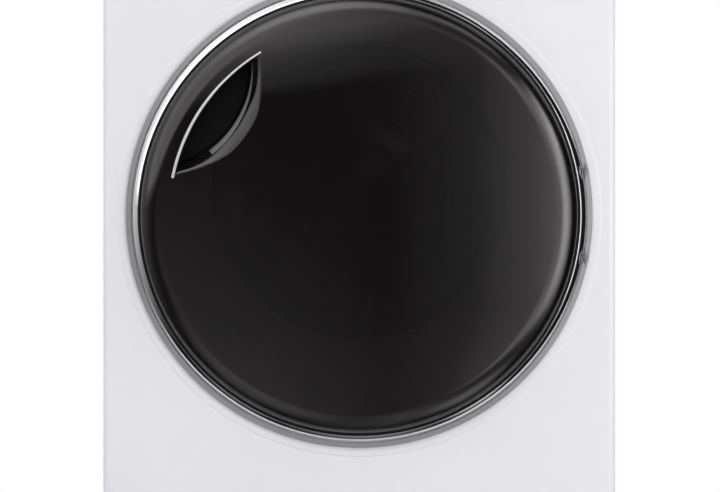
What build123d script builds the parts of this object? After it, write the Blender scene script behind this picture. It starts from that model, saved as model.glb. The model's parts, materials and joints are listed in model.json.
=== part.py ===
"""Heat pump tumble dryer. Millimetres, +Z up, X to the right and -Y to the front.

The origin is on the floor, in the middle of the whole machine's width and depth."""

from build123d import *
from math import asin, atan2, cos, hypot, pi, radians, sin, sqrt
import os

# Cabinet
cabinet_width = 595.0
cabinet_height = 845.0
cabinet_depth = 610.0  # from the front panel's face to the back of the rear cover
sheet = 1.0  # painted steel sheet
edge_radius = 8.0  # upright edges of the front
panel_gap = 2.0  # seam between the front's parts
foot_gap = 15.0  # floor to base tray
front_wrap = 25.0  # how far the front's parts reach back round the sides
flange = 13.0
worktop_thickness = 16.0
worktop_corner = 8.0
worktop_round = 3.0
control_height = 111.0
kick_height = 85.0
kick_bottom = 18.0
rear_cover_depth = 42.5
fascia_wall = 3.0  # moulded control panel and kick flap

# Front panel's round recess and collar
door_height = 432.0  # door axis above the floor
collar_radius = 281.5
collar_proud = 1.5
collar_slope = 2.0
recess_mouth_radius = 262.0
recess_floor_radius = 256.0
recess_depth = 14.0
opening_height = 460.0  # loading opening's axis above the floor
opening_radius = 180.0
recess_hole_margin = 6.0

# Bezel round the door
bezel_inner_radius = 264.3
bezel_outer_radius = 270.3
bezel_inner_proud = 7.8
bezel_outer_proud = 6.6

# Door
door_proud = 45.0  # the dome's top, ahead of the front panel's face
dome_reach = 229.0
dome_drop = 8.0
shoulder_radius = 28.0
shoulder_turn = 79.7
door_rim_radius = 256.5
door_rim_proud = 10.0
door_wall = 3.0
trim_outer_radius = 263.5
trim_inner_proud = 12.5
trim_outer_proud = 6.2
trim_back_proud = 2.3
trim_wall = 1.2
trim_ledge = 4.5
trim_ledge_thickness = 1.2
frame_back_proud = 2.0
frame_plate = 3.0
frame_gap = 0.5
frame_collar_depth = 8.0
frame_collar_radius = 201.0
frame_ribs = 12
frame_rib_width = 2.0
frame_rib_height = 9.0
bowl_radius = 172.0
bowl_wall = 4.0
bowl_depth = 68.0
bowl_slope = 14.0
bowl_round = 26.0
bowl_fit = 0.5
bowl_flange_radius = 186.0
bowl_flange = 3.0
seal_inner_radius = 189.0
seal_outer_radius = 199.0
seal_base = 2.0
seal_shoulder = 3.0
seal_gap = 0.3

# Handle in the door
handle_angle = 145.0
pocket_half_angle = 20.2
pocket_outer_radius = 221.0
pocket_inner_reach = 181.4
pocket_depth = 23.0
pocket_wall = 2.5
pocket_undercut = 7.0
pocket_undercut_height = 12.0
handle_trim_half_angle = 23.95
handle_trim_width = 3.5
handle_trim_edge = 0.3
handle_trim_proud = 0.8
handle_trim_seat = 0.05

# Door hinge
pivot_x = 262.3
pivot_proud = 8.0
pivot_spacing = 100.0
pin_radius = 1.2
pin_clearance = 0.05
ear_radius = 2.4
ear_height = 8.0
ear_clearance = 0.4
leaf_thickness = 1.5
leaf_width = 46.0
leaf_arm_height = 7.0
hinge_block_height = 16.0
hinge_plate = 2.0
hinge_stud_left = 261.0
hinge_stud_right = 263.6
hinge_plate_x = 266.0
hinge_plate_width = 36.0
hinge_clearance = 0.3

# Door catch
striker_x = -236.0
striker_width = 5.0
striker_height = 16.0
striker_reach = 34.0  # behind the front panel's face
striker_plate = 2.0
striker_window = 8.0
striker_clearance = 3.0
latch_width = 44.0
latch_left_room = 13.0
latch_height = 60.0
latch_depth = 34.0
latch_wall = 2.0
pawl_radius = 4.0
pawl_length = 15.0
pawl_thickness = 8.0
pawl_pin_radius = 1.5
pawl_gap = 0.6
pawl_float = 0.3
pawl_depth = 28.0

# Drum
drum_height = 475.0  # drum axis above the floor
drum_radius = 280.0
drum_length = 430.0
drum_front = 115.0  # behind the front panel's face
drum_sheet = 1.0
drum_lip = 18.0
drum_bead_depth = 4.0
drum_bead_width = 14.0
drum_bead_inset = 34.0
drum_dish = 8.0
drum_shaft_flange = 4.0
drum_shaft_end = 10.0
felt_gap = 0.3
felt_width = 14.0
felt_thickness = 2.7
lifter_count = 3
lifter_height = 52.0
lifter_foot = 64.0
lifter_crest = 18.0
lifter_margin = 56.0
lifter_angle = 90.0
lifter_waist = 0.8
lifter_seat_gap = 0.02
drum_shaft_radius = 10.0
drum_hub_radius = 46.0
drum_hub_proud = 6.0
air_hole_rows = 3
air_holes_in_row = 12
air_hole_first = 90.0
air_hole_step = 46.0
air_hole_length = 30.0
air_hole_radius = 7.0
bearing_clearance = 0.05
bearing_radius = 24.0
bearing_length = 16.0
bearing_flange_radius = 42.0
bearing_flange = 4.0
belt_line = 45.0  # y of the belt's middle
belt_width = 12.0
belt_thickness = 2.0
belt_gap = 0.3

# Front rollers
roller_radius = 20.0
roller_width = 18.0
roller_angle = 38.0  # from straight down, round the drum's axis
roller_gap = 0.3
roller_start = 126.0  # behind the front panel's face
roller_axle_radius = 5.0
roller_hub_radius = 9.0
roller_clearance = 0.05
roller_side_gap = 0.4
roller_tread = 4.0
roller_dish = 3.0
roller_axle_end = 3.0

# Bulkhead, loading tube and lint chute
bulkhead_wall = 3.0
bulkhead_back = 112.0  # behind the front panel's face
bulkhead_half_width = 288.0

bulkhead_top = 764.0
tube_wall = 3.0
tube_flange_radius = 202.0
filter_front = 77.0
filter_thickness = 26.0
filter_half_width = 100.0
filter_bottom = 190.0
filter_rest = 10.0
filter_seat_gap = 0.3
filter_top_cut = 140.0
filter_grip_wall = 6.0
chute_front = 62.0
chute_bend = 12.0
chute_foot = 5.0
bulkhead_corner = 20.0
filter_clearance = 1.0
filter_wall = 2.5
filter_mesh = 0.8
filter_window_rows = 2
filter_grip_depth = 8.0
filter_grip_width = 60.0
light_radius = 16.0
light_depth = 12.0
light_angle = 62.0
light_distance = 222.0
light_fit = 0.2
light_lens = 1.5

# Water tank and its housing
tank_left = -283.0
tank_right = -55.0
tank_bottom = 773.0
tank_height = 48.0
tank_length = 440.0
tank_start = 24.0  # behind the front panel's face
tank_wall = 2.0
tank_fill_radius = 24.0
tank_fill_distance = 70.0
tank_clearance = 1.0
tank_seat_gap = 0.3
tank_corner = 12.0
tank_grooves = 5
tank_groove_start = 120.0
tank_groove_pitch = 62.0
tank_groove_width = 14.0
tank_groove_depth = 8.0
housing_wall = 2.0
housing_length = 462.0
housing_start = 30.0
tank_front_left = -287.0
tank_front_right = -53.0
tank_front_margin = 6.0
tank_front_gap = 1.5
tank_front_corner = 5.0
grip_half_width = 70.0
grip_height = 34.0
grip_depth = 20.0
grip_bottom = 15.0

# Controls
dial_x = -4.0
control_line = 773.0
dial_radius = 26.0
dial_proud = 22.0
dial_draft = 1.5
dial_gap = 1.0
dial_recess = 2.0
dial_ring = 5.0
dial_float = 0.5
dial_skirt = 4.0
dial_bevel = 1.5
dial_socket_radius = 7.0
dial_socket_length = 8.0
dial_shaft_end = 4.0
dial_pointer_length = 12.0
dial_pointer_width = 2.0
dial_pointer_depth = 0.8
dial_shaft_radius = 3.0
dial_shaft_gap = 0.1
dial_grooves = 24
dial_groove_radius = 1.2
display_left = 46.0
display_right = 226.0
display_bottom = 743.0
display_top = 803.0
display_thickness = 2.0
display_gap = 0.3
display_corner = 6.0
display_rim = 6.0
display_bevel = 0.5
power_x = 258.0
power_z = 797.0
power_radius = 8.0
start_x = 258.0
start_z = 756.0
start_radius = 12.0
button_gap = 0.35
button_proud = 1.8
button_stem_radius = 3.0
button_flange = 2.0
button_flange_depth = 1.5
button_flange_gap = 0.5
button_float = 0.3
button_round = 1.0
button_guide_depth = 9.0
button_stem_end = 14.0  # behind the front panel's face
board_left = -40.0
board_right = 284.0
board_bottom = 738.0
board_top = 812.0
board_depth = 22.0  # behind the front panel's face
board_thickness = 1.6
board_case_wall = 2.0
board_case_depth = 14.0
switch_size = 7.0
switch_gap = 1.7

# Base tray and feet
tray_wall = 3.0
tray_inset = 7.0
tray_height = 86.0
tray_front = 34.0  # behind the front panel's face
foot_x = 250.0
foot_front = 60.0  # behind the front panel's face
foot_rear = 18.0  # ahead of the rear panel's back
foot_radius = 20.0
foot_pad = 5.0
foot_stem_radius = 5.0
foot_stem_length = 42.0
foot_clearance = 0.08
foot_boss_radius = 11.0
foot_nut_radius = 9.0
foot_nut = 6.0
foot_boss_height = 34.0
seat_rail = 6.0
motor_cradle = 34.0
motor_cradle_drop = 26.0
compressor_pad_radius = 11.0
compressor_pad = 12.0

# Heat pump
exchanger_left = -250.0
exchanger_right = -20.0
exchanger_bottom = 36.0
exchanger_height = 118.0
evaporator_front = 117.0  # behind the front panel's face
evaporator_depth = 70.0
condenser_gap = 8.0
condenser_depth = 96.0
fin_pitch = 16.0
fin_thickness = 1.5
exchanger_plate = 4.0
duct_gap = 4.0
duct_wall = 2.5
compressor_x = 190.0
compressor_y = 70.0
compressor_radius = 60.0
compressor_height = 175.0
compressor_foot = 8.0
compressor_dome = 22.0
compressor_foot_radius = 78.0
compressor_seam = 1.5
compressor_box = 36.0
pipe_radius = 3.5
pipe_bend = 22.0
pipe_drop = 16.0
pipe_touch = 0.3
suction_x = 60.0
discharge_x = 40.0
discharge_offset = 20.0
discharge_touch = 3.2
capillary_offset = 28.0
capillary_reach = 46.0
capillary_end = 6.0

# Motor, fan and belt drive
motor_x = -150.0
motor_z = 106.0
motor_radius = 42.0
motor_front = 66.0  # y
motor_length = 110.0
motor_fins = 12
motor_fin = 4.0
motor_fin_width = 4.0
motor_bell = 10.0
motor_bell_radius = 34.0
motor_shaft_radius = 6.0
pulley_radius = 10.5
pulley_width = 16.0
pulley_flange = 2.5
fan_front = 200.0  # y
fan_width = 44.0
fan_radius = 74.0
fan_blades = 24
fan_blade_thickness = 2.0
fan_blade_depth = 16.0
fan_hub_radius = 14.0
fan_plate = 2.5
fan_gap = 5.0
fan_hub_step = 8.0
fan_blade_angle = 35.0
fan_inlet_radius = 52.0
belt_slot_left = -205.0
belt_slot_right = -40.0
belt_slot_margin = 8.0
tensioner_x = -92.0
tensioner_z = 138.0
tensioner_pivot_x = -49.7
tensioner_pivot_z = 167.6
tensioner_radius = 15.0
tensioner_hub_radius = 7.0
tensioner_pin_radius = 4.0
tensioner_arm_width = 16.0
tensioner_arm_thickness = 4.0
tensioner_clearance = 0.05
tensioner_post = 3.0

# Condensate pump, hose and mains gland
pump_x = 236.0
pump_y = 232.0
pump_radius = 24.0
pump_height = 62.0
pump_head_share = 0.7
hose_radius = 6.0
hose_wall = 1.5
hose_top = 800.0
hose_end_x = -120.0
hose_socket = 20.0
hose_corner_x = 289.0
hose_corner_y = 272.0
hose_rise = 60.0
hose_bend = 30.0
gland_x = 60.0
gland_z = 130.0
gland_bore = 4.0
gland_radius = 9.0
gland_length = 22.0
gland_outer = 14.0
gland_nut = 3.0

# Kick flap and heat exchanger cover
kick_gap = 1.5
kick_hinge_radius = 3.0
kick_pin_clearance = 0.1
kick_axis_depth = 10.0
kick_axis_height = 23.0
kick_ear_x = 262.0
kick_ear_width = 8.0
kick_ear_radius = 5.0
kick_lug_gap = 0.5
kick_lug_width = 5.0
kick_top_lip = 14.0
kick_ribs = 7
cover_margin = 12.0
cover_depth = 14.0
cover_wall = 2.5
cover_rim = 6.0
cover_fit = 0.5
lever_inset = 30.0
lever_boss = 8.0
lever_gap = 0.5
lever_round = 3.0
lever_radius = 11.0
lever_length = 48.0
lever_width = 12.0
lever_thickness = 6.0
lever_pin_radius = 3.0

# Rear panel
felt_bead_inset = 2.0
felt_bead_shoulder = 5.0
fan_outlet_lip = 8.0
cover_leg_lift = 12.0
cover_corner = 24.0
cover_flange = 12.0
vent_x = 170.0
vent_z = 120.0
rear_window_inner = 62.0
rear_window_outer = 196.0
rear_windows = 6
rear_spoke = 26.0
cover_round_radius = 214.0
cover_leg_half_width = 92.0
cover_draft = 10.0
vent_slots = 8
vent_width = 5.0
vent_length = 90.0
vent_pitch = 12.0

# Places worked out from the sizes above
half_width = cabinet_width / 2
front_y = door_proud - (cabinet_depth + door_proud) / 2
back_y = front_y + cabinet_depth
rear_y = back_y - rear_cover_depth
control_top = cabinet_height - worktop_thickness
control_bottom = control_top - control_height
front_top = control_bottom - panel_gap
kick_top = kick_bottom + kick_height
front_bottom = kick_top + panel_gap + 1.0
wrap_y = front_y + front_wrap
drum_start = front_y + drum_front
drum_end = drum_start + drum_length
condenser_start = front_y + evaporator_front + evaporator_depth + condenser_gap
evaporator_y = front_y + evaporator_front
evaporator_middle = evaporator_y + evaporator_depth / 2
condenser_middle = condenser_start + condenser_depth / 2
pipe_high = exchanger_bottom + exchanger_height - pipe_drop
pipe_low = exchanger_bottom + pipe_drop
pipe_places = [
    (evaporator_middle, pipe_high),
    (evaporator_middle + capillary_end, pipe_low),
    (condenser_middle, pipe_low),
    (condenser_middle - capillary_offset, pipe_low),
]
scroll_inner = fan_radius + fan_gap
scroll_outer = scroll_inner + duct_wall
arm_front = belt_line + belt_width / 2 + roller_side_gap
tank_middle_front = (tank_front_left + tank_front_right) / 2
LOW = (Align.MIN, Align.MIN, Align.MIN)


def front_plane(depth=0.0, height=0.0, x=0.0):
    """An upright plane facing forwards, `depth` behind the front panel's face."""
    return Plane(origin=(x, front_y + depth, height), x_dir=(1, 0, 0), z_dir=(0, -1, 0))


def turning_axis(height, x=0.0):
    """A level axis from front to back."""
    return Axis((x, 0, height), (0, 1, 0))


def ring_section(height, outline, x=0.0):
    """A closed section, given as radius and distance behind the front panel's face."""
    with BuildSketch(Plane.XY.offset(height)) as made:
        with BuildLine():
            Polyline(*[(x + radius, front_y + depth) for radius, depth in outline], close=True)
        make_face()
    return made.sketch


def wrap_section(height, wall, back):
    """The plan of a front part that wraps round both sides of the cabinet."""
    side = half_width - wall
    with BuildSketch(Plane.XY.offset(height)) as made:
        with BuildLine():
            outer = FilletPolyline(
                (-half_width, back), (-half_width, front_y), (half_width, front_y), (half_width, back),
                radius=edge_radius,
            )
            inner = FilletPolyline(
                (-side, back), (-side, front_y + wall), (side, front_y + wall), (side, back),
                radius=edge_radius - wall,
            )
            Line(outer @ 0, inner @ 0)
            Line(outer @ 1, inner @ 1)
        make_face()
    return made.sketch


def circle_at(plane, radius, x=0.0, y=0.0):
    with BuildSketch(plane) as made:
        with Locations((x, y)):
            Circle(radius)
    return made.sketch


def ring_at(plane, outer, inner, x=0.0, y=0.0):
    with BuildSketch(plane) as made:
        with Locations((x, y)):
            Circle(outer)
            Circle(inner, mode=Mode.SUBTRACT)
    return made.sketch


def slab(x, y, z):
    """A plain box between the two ends given for each direction."""
    block = Box(x[1] - x[0], y[1] - y[0], z[1] - z[0], align=LOW, mode=Mode.PRIVATE)
    return Pos(x[0], y[0], z[0]) * block


os.makedirs("parts", exist_ok=True)
pieces = {}


def finish(name, part):
    part.label = name
    pieces[name] = part
    export_step(part, f"parts/{name}.step")


# Front panel: a steel pan with the raised collar and the door's round recess pressed into it
recess_hole_radius = opening_radius + recess_hole_margin
collar_back = sheet - collar_proud
with BuildPart() as front_panel:
    extrude(wrap_section(front_bottom, sheet, wrap_y), amount=front_top - front_bottom)
    lip_y = (front_y + sheet, front_y + flange)
    lip_x = (sheet - half_width, half_width - sheet)
    add(slab(lip_x, lip_y, (front_bottom, front_bottom + sheet)))
    add(slab(lip_x, lip_y, (front_top - sheet, front_top)))
    extrude(circle_at(front_plane(), collar_radius, y=door_height), amount=-sheet, mode=Mode.SUBTRACT)
    revolve(
        ring_section(
            door_height,
            [
                (0, recess_depth),
                (recess_floor_radius, recess_depth),
                (recess_mouth_radius, -collar_proud),
                (collar_radius - collar_slope, -collar_proud),
                (collar_radius, 0),
                (collar_radius, sheet),
                (collar_radius - collar_slope, collar_back),
                (recess_mouth_radius + sheet, collar_back),
                (recess_floor_radius + sheet, recess_depth + sheet),
                (0, recess_depth + sheet),
            ],
        ),
        axis=turning_axis(door_height),
    )
    recess_back = front_plane(recess_depth + sheet)
    extrude(
        circle_at(recess_back, recess_hole_radius, y=opening_height), amount=2 * sheet, mode=Mode.SUBTRACT
    )
    striker_slot_half = striker_width / 2 + striker_clearance
    striker_slot_rise = striker_height / 2 + striker_clearance
    add(
        slab(
            (striker_x - striker_slot_half, striker_x + striker_slot_half),
            (front_y + recess_depth - sheet, front_y + recess_depth + 2 * sheet),
            (door_height - striker_slot_rise, door_height + striker_slot_rise),
        ),
        mode=Mode.SUBTRACT,
    )
    for side in (-1, 1):
        pin_z = door_height + side * pivot_spacing / 2
        stud_reach = hinge_block_height / 2 + hinge_clearance
        add(
            slab(
                (hinge_stud_left - hinge_clearance, hinge_stud_right + hinge_clearance),
                (front_y - 2 * collar_proud, front_y + 2 * sheet),
                (pin_z - stud_reach, pin_z + stud_reach),
            ),
            mode=Mode.SUBTRACT,
        )
finish("front_panel", front_panel.part)

# Side panels, each folded inwards at the front, the rear and the top
for name, side in (("left_side_panel", -1), ("right_side_panel", 1)):
    with BuildPart() as side_panel:
        with BuildSketch(Plane.XY.offset(foot_gap)):
            with BuildLine():
                Polyline(
                    (side * half_width, wrap_y),
                    (side * half_width, rear_y),
                    (side * (half_width - sheet), rear_y),
                    (side * (half_width - sheet), rear_y - sheet),
                    (side * (half_width - flange), rear_y - sheet),
                    (side * (half_width - flange), rear_y - 2 * sheet),
                    (side * (half_width - sheet), rear_y - 2 * sheet),
                    (side * (half_width - sheet), wrap_y + sheet),
                    (side * (half_width - flange), wrap_y + sheet),
                    (side * (half_width - flange), wrap_y),
                    close=True,
                )
            make_face()
        extrude(amount=control_top - foot_gap)
        with Locations((side * (half_width - sheet), (wrap_y + rear_y) / 2, control_top - sheet)):
            Box(
                flange, rear_y - wrap_y - 2 * flange, sheet,
                align=(Align.MIN if side < 0 else Align.MAX, Align.CENTER, Align.MIN),
            )
    finish(name, side_panel.part)

# Worktop
with BuildPart() as worktop:
    with BuildSketch(Plane.XY.offset(control_top)):
        with Locations((0, front_y)):
            Rectangle(cabinet_width, rear_y - front_y, align=(Align.CENTER, Align.MIN))
    extrude(amount=worktop_thickness)
    fillet(worktop.edges().filter_by(Axis.Z), worktop_corner)
    fillet(worktop.faces().sort_by(Axis.Z)[-1].edges(), worktop_round)
finish("worktop", worktop.part)

# Rear panel: felt bead round the drum's back, air windows round the bearing, fan outlet and vents
bead_depth = rear_y - sheet - (drum_end + felt_gap + felt_thickness)
bead_outer = drum_radius - felt_bead_inset
bead_inner = bead_outer - felt_width - 2 * felt_bead_shoulder
rear_face = rear_y - sheet - front_y
bead_top = rear_face - bead_depth
rear_plane = front_plane(rear_face)
cover_bottom = motor_z - cover_leg_half_width + cover_leg_lift
with BuildPart() as rear_panel:
    add(
        slab(
            (sheet - half_width, half_width - sheet), (rear_y - sheet, rear_y), (foot_gap, control_top)
        )
    )
    extrude(ring_at(rear_plane, bead_outer, bead_inner, y=drum_height), amount=-sheet, mode=Mode.SUBTRACT)
    revolve(
        ring_section(
            drum_height,
            [
                (bead_outer, rear_face),
                (bead_outer - felt_bead_shoulder, bead_top),
                (bead_inner + felt_bead_shoulder, bead_top),
                (bead_inner, rear_face),
                (bead_inner, rear_face + sheet),
                (bead_inner + felt_bead_shoulder + sheet, bead_top + sheet),
                (bead_outer - felt_bead_shoulder - sheet, bead_top + sheet),
                (bead_outer, rear_face + sheet),
            ],
        ),
        axis=turning_axis(drum_height),
    )
    with BuildSketch(rear_plane) as windows:
        with Locations((0, drum_height)):
            Circle(rear_window_outer)
            Circle(rear_window_inner, mode=Mode.SUBTRACT)
            with PolarLocations(0, rear_windows):
                Rectangle(
                    rear_window_outer, rear_spoke, align=(Align.MIN, Align.CENTER), mode=Mode.SUBTRACT
                )
        with Locations((0, drum_height)):
            Circle(bearing_radius)
        with Locations((motor_x, motor_z)):
            Circle(fan_radius - fan_outlet_lip)
        with GridLocations(vent_pitch, 0, vent_slots, 1):
            with Locations((vent_x, vent_z)):
                SlotOverall(vent_length, vent_width, rotation=90)
        with Locations((gland_x, gland_z)):
            Circle(gland_radius + bearing_clearance)
    extrude(windows.sketch, amount=-sheet, mode=Mode.SUBTRACT)
finish("rear_panel", rear_panel.part)

# Rear duct cover: carries the warm air up from the fan to the drum's back
def cover_outline(plane, grow):
    with BuildSketch(plane) as made:
        with Locations((0, drum_height)):
            Circle(cover_round_radius + grow)
        with Locations((motor_x, cover_bottom - grow)):
            Rectangle(
                2 * (cover_leg_half_width + grow), drum_height - cover_bottom + grow,
                align=(Align.CENTER, Align.MIN),
            )
        fillet(made.vertices().group_by(Axis.Y)[0], cover_corner + grow)
    return made.sketch


with BuildPart() as rear_duct_cover:
    extrude(cover_outline(front_plane(rear_y - front_y), 0), amount=-rear_cover_depth)
    rear_rim = rear_duct_cover.faces().sort_by(Axis.Y)[-1].edges()
    chamfer(rear_rim, cover_draft)
    extrude(
        cover_outline(front_plane(rear_y - front_y), -sheet), amount=sheet - rear_cover_depth + cover_draft,
        mode=Mode.SUBTRACT,
    )
    extrude(
        cover_outline(front_plane(rear_y - front_y), -sheet - cover_draft), amount=sheet - rear_cover_depth,
        mode=Mode.SUBTRACT,
    )
    extrude(cover_outline(front_plane(rear_y - front_y), cover_flange), amount=-sheet)
    extrude(cover_outline(front_plane(rear_y - front_y), -sheet), amount=-sheet, mode=Mode.SUBTRACT)
finish("rear_duct_cover", rear_duct_cover.part)

# Base tray: floor, walls, the air channel's side walls, bosses for the feet and ears for the kick flap
tray_side = half_width - tray_inset
tray_y = front_y + tray_front
tray_back = rear_y - 2 * sheet
channel_left = exchanger_left - duct_gap
channel_right = exchanger_right + duct_gap
channel_top = exchanger_bottom + exchanger_height + duct_gap
tray_floor = foot_gap + tray_wall
hinge_y = front_y + kick_axis_depth
foot_places = {
    "front_left_foot": (-foot_x, front_y + foot_front),
    "front_right_foot": (foot_x, front_y + foot_front),
    "rear_left_foot": (-foot_x, rear_y - foot_rear),
    "rear_right_foot": (foot_x, rear_y - foot_rear),
}
with BuildPart() as base_tray:
    add(slab((-tray_side, tray_side), (tray_y, tray_back), (foot_gap, foot_gap + tray_height)))
    add(
        slab(
            (tray_wall - tray_side, tray_side - tray_wall),
            (tray_y + tray_wall, tray_back - tray_wall),
            (tray_floor, foot_gap + tray_height),
        ),
        mode=Mode.SUBTRACT,
    )
    for wall_x in (channel_left - duct_wall, channel_right):
        add(
            slab(
                (wall_x, wall_x + duct_wall), (tray_y + tray_wall, fan_front - fan_gap),
                (tray_floor, channel_top),
            )
        )
    add(
        slab(
            (channel_left, channel_right), (tray_y + tray_wall, tray_y + tray_wall + duct_wall),
            (foot_gap + tray_height - tray_wall, channel_top),
        )
    )
    access_x = (channel_left + cover_margin, channel_right - cover_margin)
    access_z = (tray_floor + cover_margin, foot_gap + tray_height - cover_margin)
    add(
        slab(access_x, (tray_y - tray_wall, tray_y + 3 * tray_wall), access_z), mode=Mode.SUBTRACT
    )
    exchanger_x = (exchanger_left, exchanger_right)
    for seat_y in (
        evaporator_y,
        evaporator_y + evaporator_depth - seat_rail,
        condenser_start,
        condenser_start + condenser_depth - seat_rail,
    ):
        add(slab(exchanger_x, (seat_y, seat_y + seat_rail), (tray_floor, exchanger_bottom)))
    with BuildSketch(Plane.YZ.offset(channel_right)) as pipe_holes:
        with Locations(*pipe_places):
            Circle(pipe_radius + pipe_touch)
    extrude(pipe_holes.sketch, amount=duct_wall, mode=Mode.SUBTRACT)
    extrude(
        circle_at(front_plane(rear_face), scroll_outer + hinge_clearance, motor_x, motor_z),
        amount=2 * tray_wall, mode=Mode.SUBTRACT,
    )
    post_front = arm_front + tensioner_arm_thickness + roller_side_gap
    post_x = (tensioner_pivot_x - tensioner_arm_width / 2, tensioner_pivot_x + tensioner_arm_width / 2)
    add(
        slab(
            post_x, (post_front, post_front + tensioner_post),
            (tray_floor, tensioner_pivot_z + tensioner_arm_width / 2),
        )
    )
    extrude(
        circle_at(
            front_plane(post_front - front_y), tensioner_pin_radius, tensioner_pivot_x, tensioner_pivot_z
        ),
        amount=post_front - arm_front + roller_side_gap,
    )
    for seat_y in (motor_front + seat_rail, motor_front + motor_length - 2 * seat_rail):
        add(
            slab(
                (motor_x - motor_cradle, motor_x + motor_cradle), (seat_y, seat_y + seat_rail),
                (tray_floor, motor_z - motor_cradle_drop),
            )
        )
        extrude(
            circle_at(front_plane(seat_y - front_y - 1), motor_radius + motor_fin, motor_x, motor_z),
            amount=-seat_rail - 2, mode=Mode.SUBTRACT,
        )
    with BuildSketch(Plane.XY.offset(tray_floor)) as pads:
        with Locations((compressor_x, compressor_y)):
            with PolarLocations(compressor_foot_radius, 3, start_angle=90):
                Circle(compressor_pad_radius)
    extrude(pads.sketch, amount=compressor_pad)
    with BuildSketch(Plane.XY.offset(foot_gap)) as bosses:
        with Locations(*foot_places.values()):
            Circle(foot_boss_radius)
    extrude(bosses.sketch, amount=foot_boss_height)
    for ear_x in (-kick_ear_x, kick_ear_x):
        with BuildSketch(Plane.YZ.offset(ear_x - kick_ear_width / 2)) as ear:
            with BuildLine():
                ear_low = kick_axis_height - kick_ear_radius
                Line((tray_y, ear_low), (hinge_y, ear_low))
                ThreePointArc(
                    (hinge_y, kick_axis_height - kick_ear_radius),
                    (hinge_y - kick_ear_radius, kick_axis_height),
                    (hinge_y, kick_axis_height + kick_ear_radius),
                )
                Polyline(
                    (hinge_y, kick_axis_height + kick_ear_radius),
                    (tray_y, kick_axis_height + 3 * kick_ear_radius),
                    (tray_y, kick_axis_height - kick_ear_radius),
                )
            make_face()
            with Locations((hinge_y, kick_axis_height)):
                Circle(kick_hinge_radius + kick_pin_clearance, mode=Mode.SUBTRACT)
        extrude(ear.sketch, amount=kick_ear_width)
    with BuildSketch(Plane.XY.offset(foot_gap)) as stem_holes:
        with Locations(*foot_places.values()):
            Circle(foot_stem_radius + foot_clearance)
    extrude(stem_holes.sketch, amount=foot_boss_height, mode=Mode.SUBTRACT)
finish("base_tray", base_tray.part)

# Levelling feet, each a pad on a threaded stem
for name, (place_x, place_y) in foot_places.items():
    with BuildPart() as foot:
        with Locations((place_x, place_y, 0)):
            Cylinder(foot_radius, foot_pad, align=(Align.CENTER, Align.CENTER, Align.MIN))
            Cylinder(
                foot_stem_radius, foot_pad + foot_stem_length, align=(Align.CENTER, Align.CENTER, Align.MIN)
            )
        chamfer(foot.faces().sort_by(Axis.Z)[-1].edges(), foot_stem_radius / 3)
        with BuildSketch(Plane.XY.offset(foot_pad)) as nut:
            with Locations((place_x, place_y)):
                RegularPolygon(foot_nut_radius, 6)
        extrude(nut.sketch, amount=foot_nut)
    finish(name, foot.part)

# Kick flap, hinged on two pins at its lower edge
with BuildPart() as kick_flap:
    extrude(wrap_section(kick_bottom, fascia_wall, wrap_y - kick_gap), amount=kick_height)
    add(
        slab(
            (fascia_wall - half_width, half_width - fascia_wall),
            (front_y + fascia_wall, front_y + kick_top_lip), (kick_top - fascia_wall, kick_top),
        )
    )
    for lug_side in (-1, 1):
        lug_x = lug_side * (kick_ear_x - kick_ear_width / 2 - kick_lug_gap - kick_lug_width / 2)
        add(
            slab(
                (lug_x - kick_lug_width / 2, lug_x + kick_lug_width / 2),
                (front_y + fascia_wall, hinge_y + kick_hinge_radius),
                (kick_axis_height - kick_hinge_radius, kick_axis_height + kick_hinge_radius),
            )
        )
        pin_length = kick_lug_gap + kick_ear_width + kick_lug_width / 2
        pin_start = min(lug_x, lug_x + lug_side * pin_length)
        with BuildSketch(Plane.YZ.offset(pin_start)) as pin:
            with Locations((hinge_y, kick_axis_height)):
                Circle(kick_hinge_radius)
        extrude(pin.sketch, amount=pin_length)
    for rib in range(kick_ribs):
        rib_x = -half_width + (rib + 1) * cabinet_width / (kick_ribs + 1)
        add(
            slab(
                (rib_x - fascia_wall / 2, rib_x + fascia_wall / 2),
                (front_y + fascia_wall, front_y + kick_top_lip),
                (kick_axis_height + 2 * kick_ear_radius + kick_top_lip, kick_top - fascia_wall),
            )
        )
finish("kick_flap", kick_flap.part)

# Heat exchanger cover: a lid that plugs into the tray's front opening, under a turning lever
cover_x = (access_x[0] - cover_rim, access_x[1] + cover_rim)
cover_z = (access_z[0] - cover_rim, access_z[1] + cover_rim)
lever_x = access_x[1] - lever_inset
lever_z = (access_z[0] + access_z[1]) / 2
with BuildPart() as heat_exchanger_cover:
    add(slab(cover_x, (tray_y - cover_wall, tray_y), cover_z))
    fillet(heat_exchanger_cover.edges().filter_by(Axis.Y), cover_rim)
    inner_x = (access_x[0] + cover_fit, access_x[1] - cover_fit)
    inner_z = (access_z[0] + cover_fit, access_z[1] - cover_fit)
    add(slab(inner_x, (tray_y, tray_y + cover_depth), inner_z))
    add(
        slab(
            (inner_x[0] + cover_wall, inner_x[1] - cover_wall), (tray_y + cover_wall, tray_y + cover_depth),
            (inner_z[0] + cover_wall, inner_z[1] - cover_wall),
        ),
        mode=Mode.SUBTRACT,
    )
    lever_boss_y = tray_y - cover_wall - front_y
    extrude(circle_at(front_plane(lever_boss_y), lever_pin_radius, lever_x, lever_z), amount=lever_boss)
finish("heat_exchanger_cover", heat_exchanger_cover.part)

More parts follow.
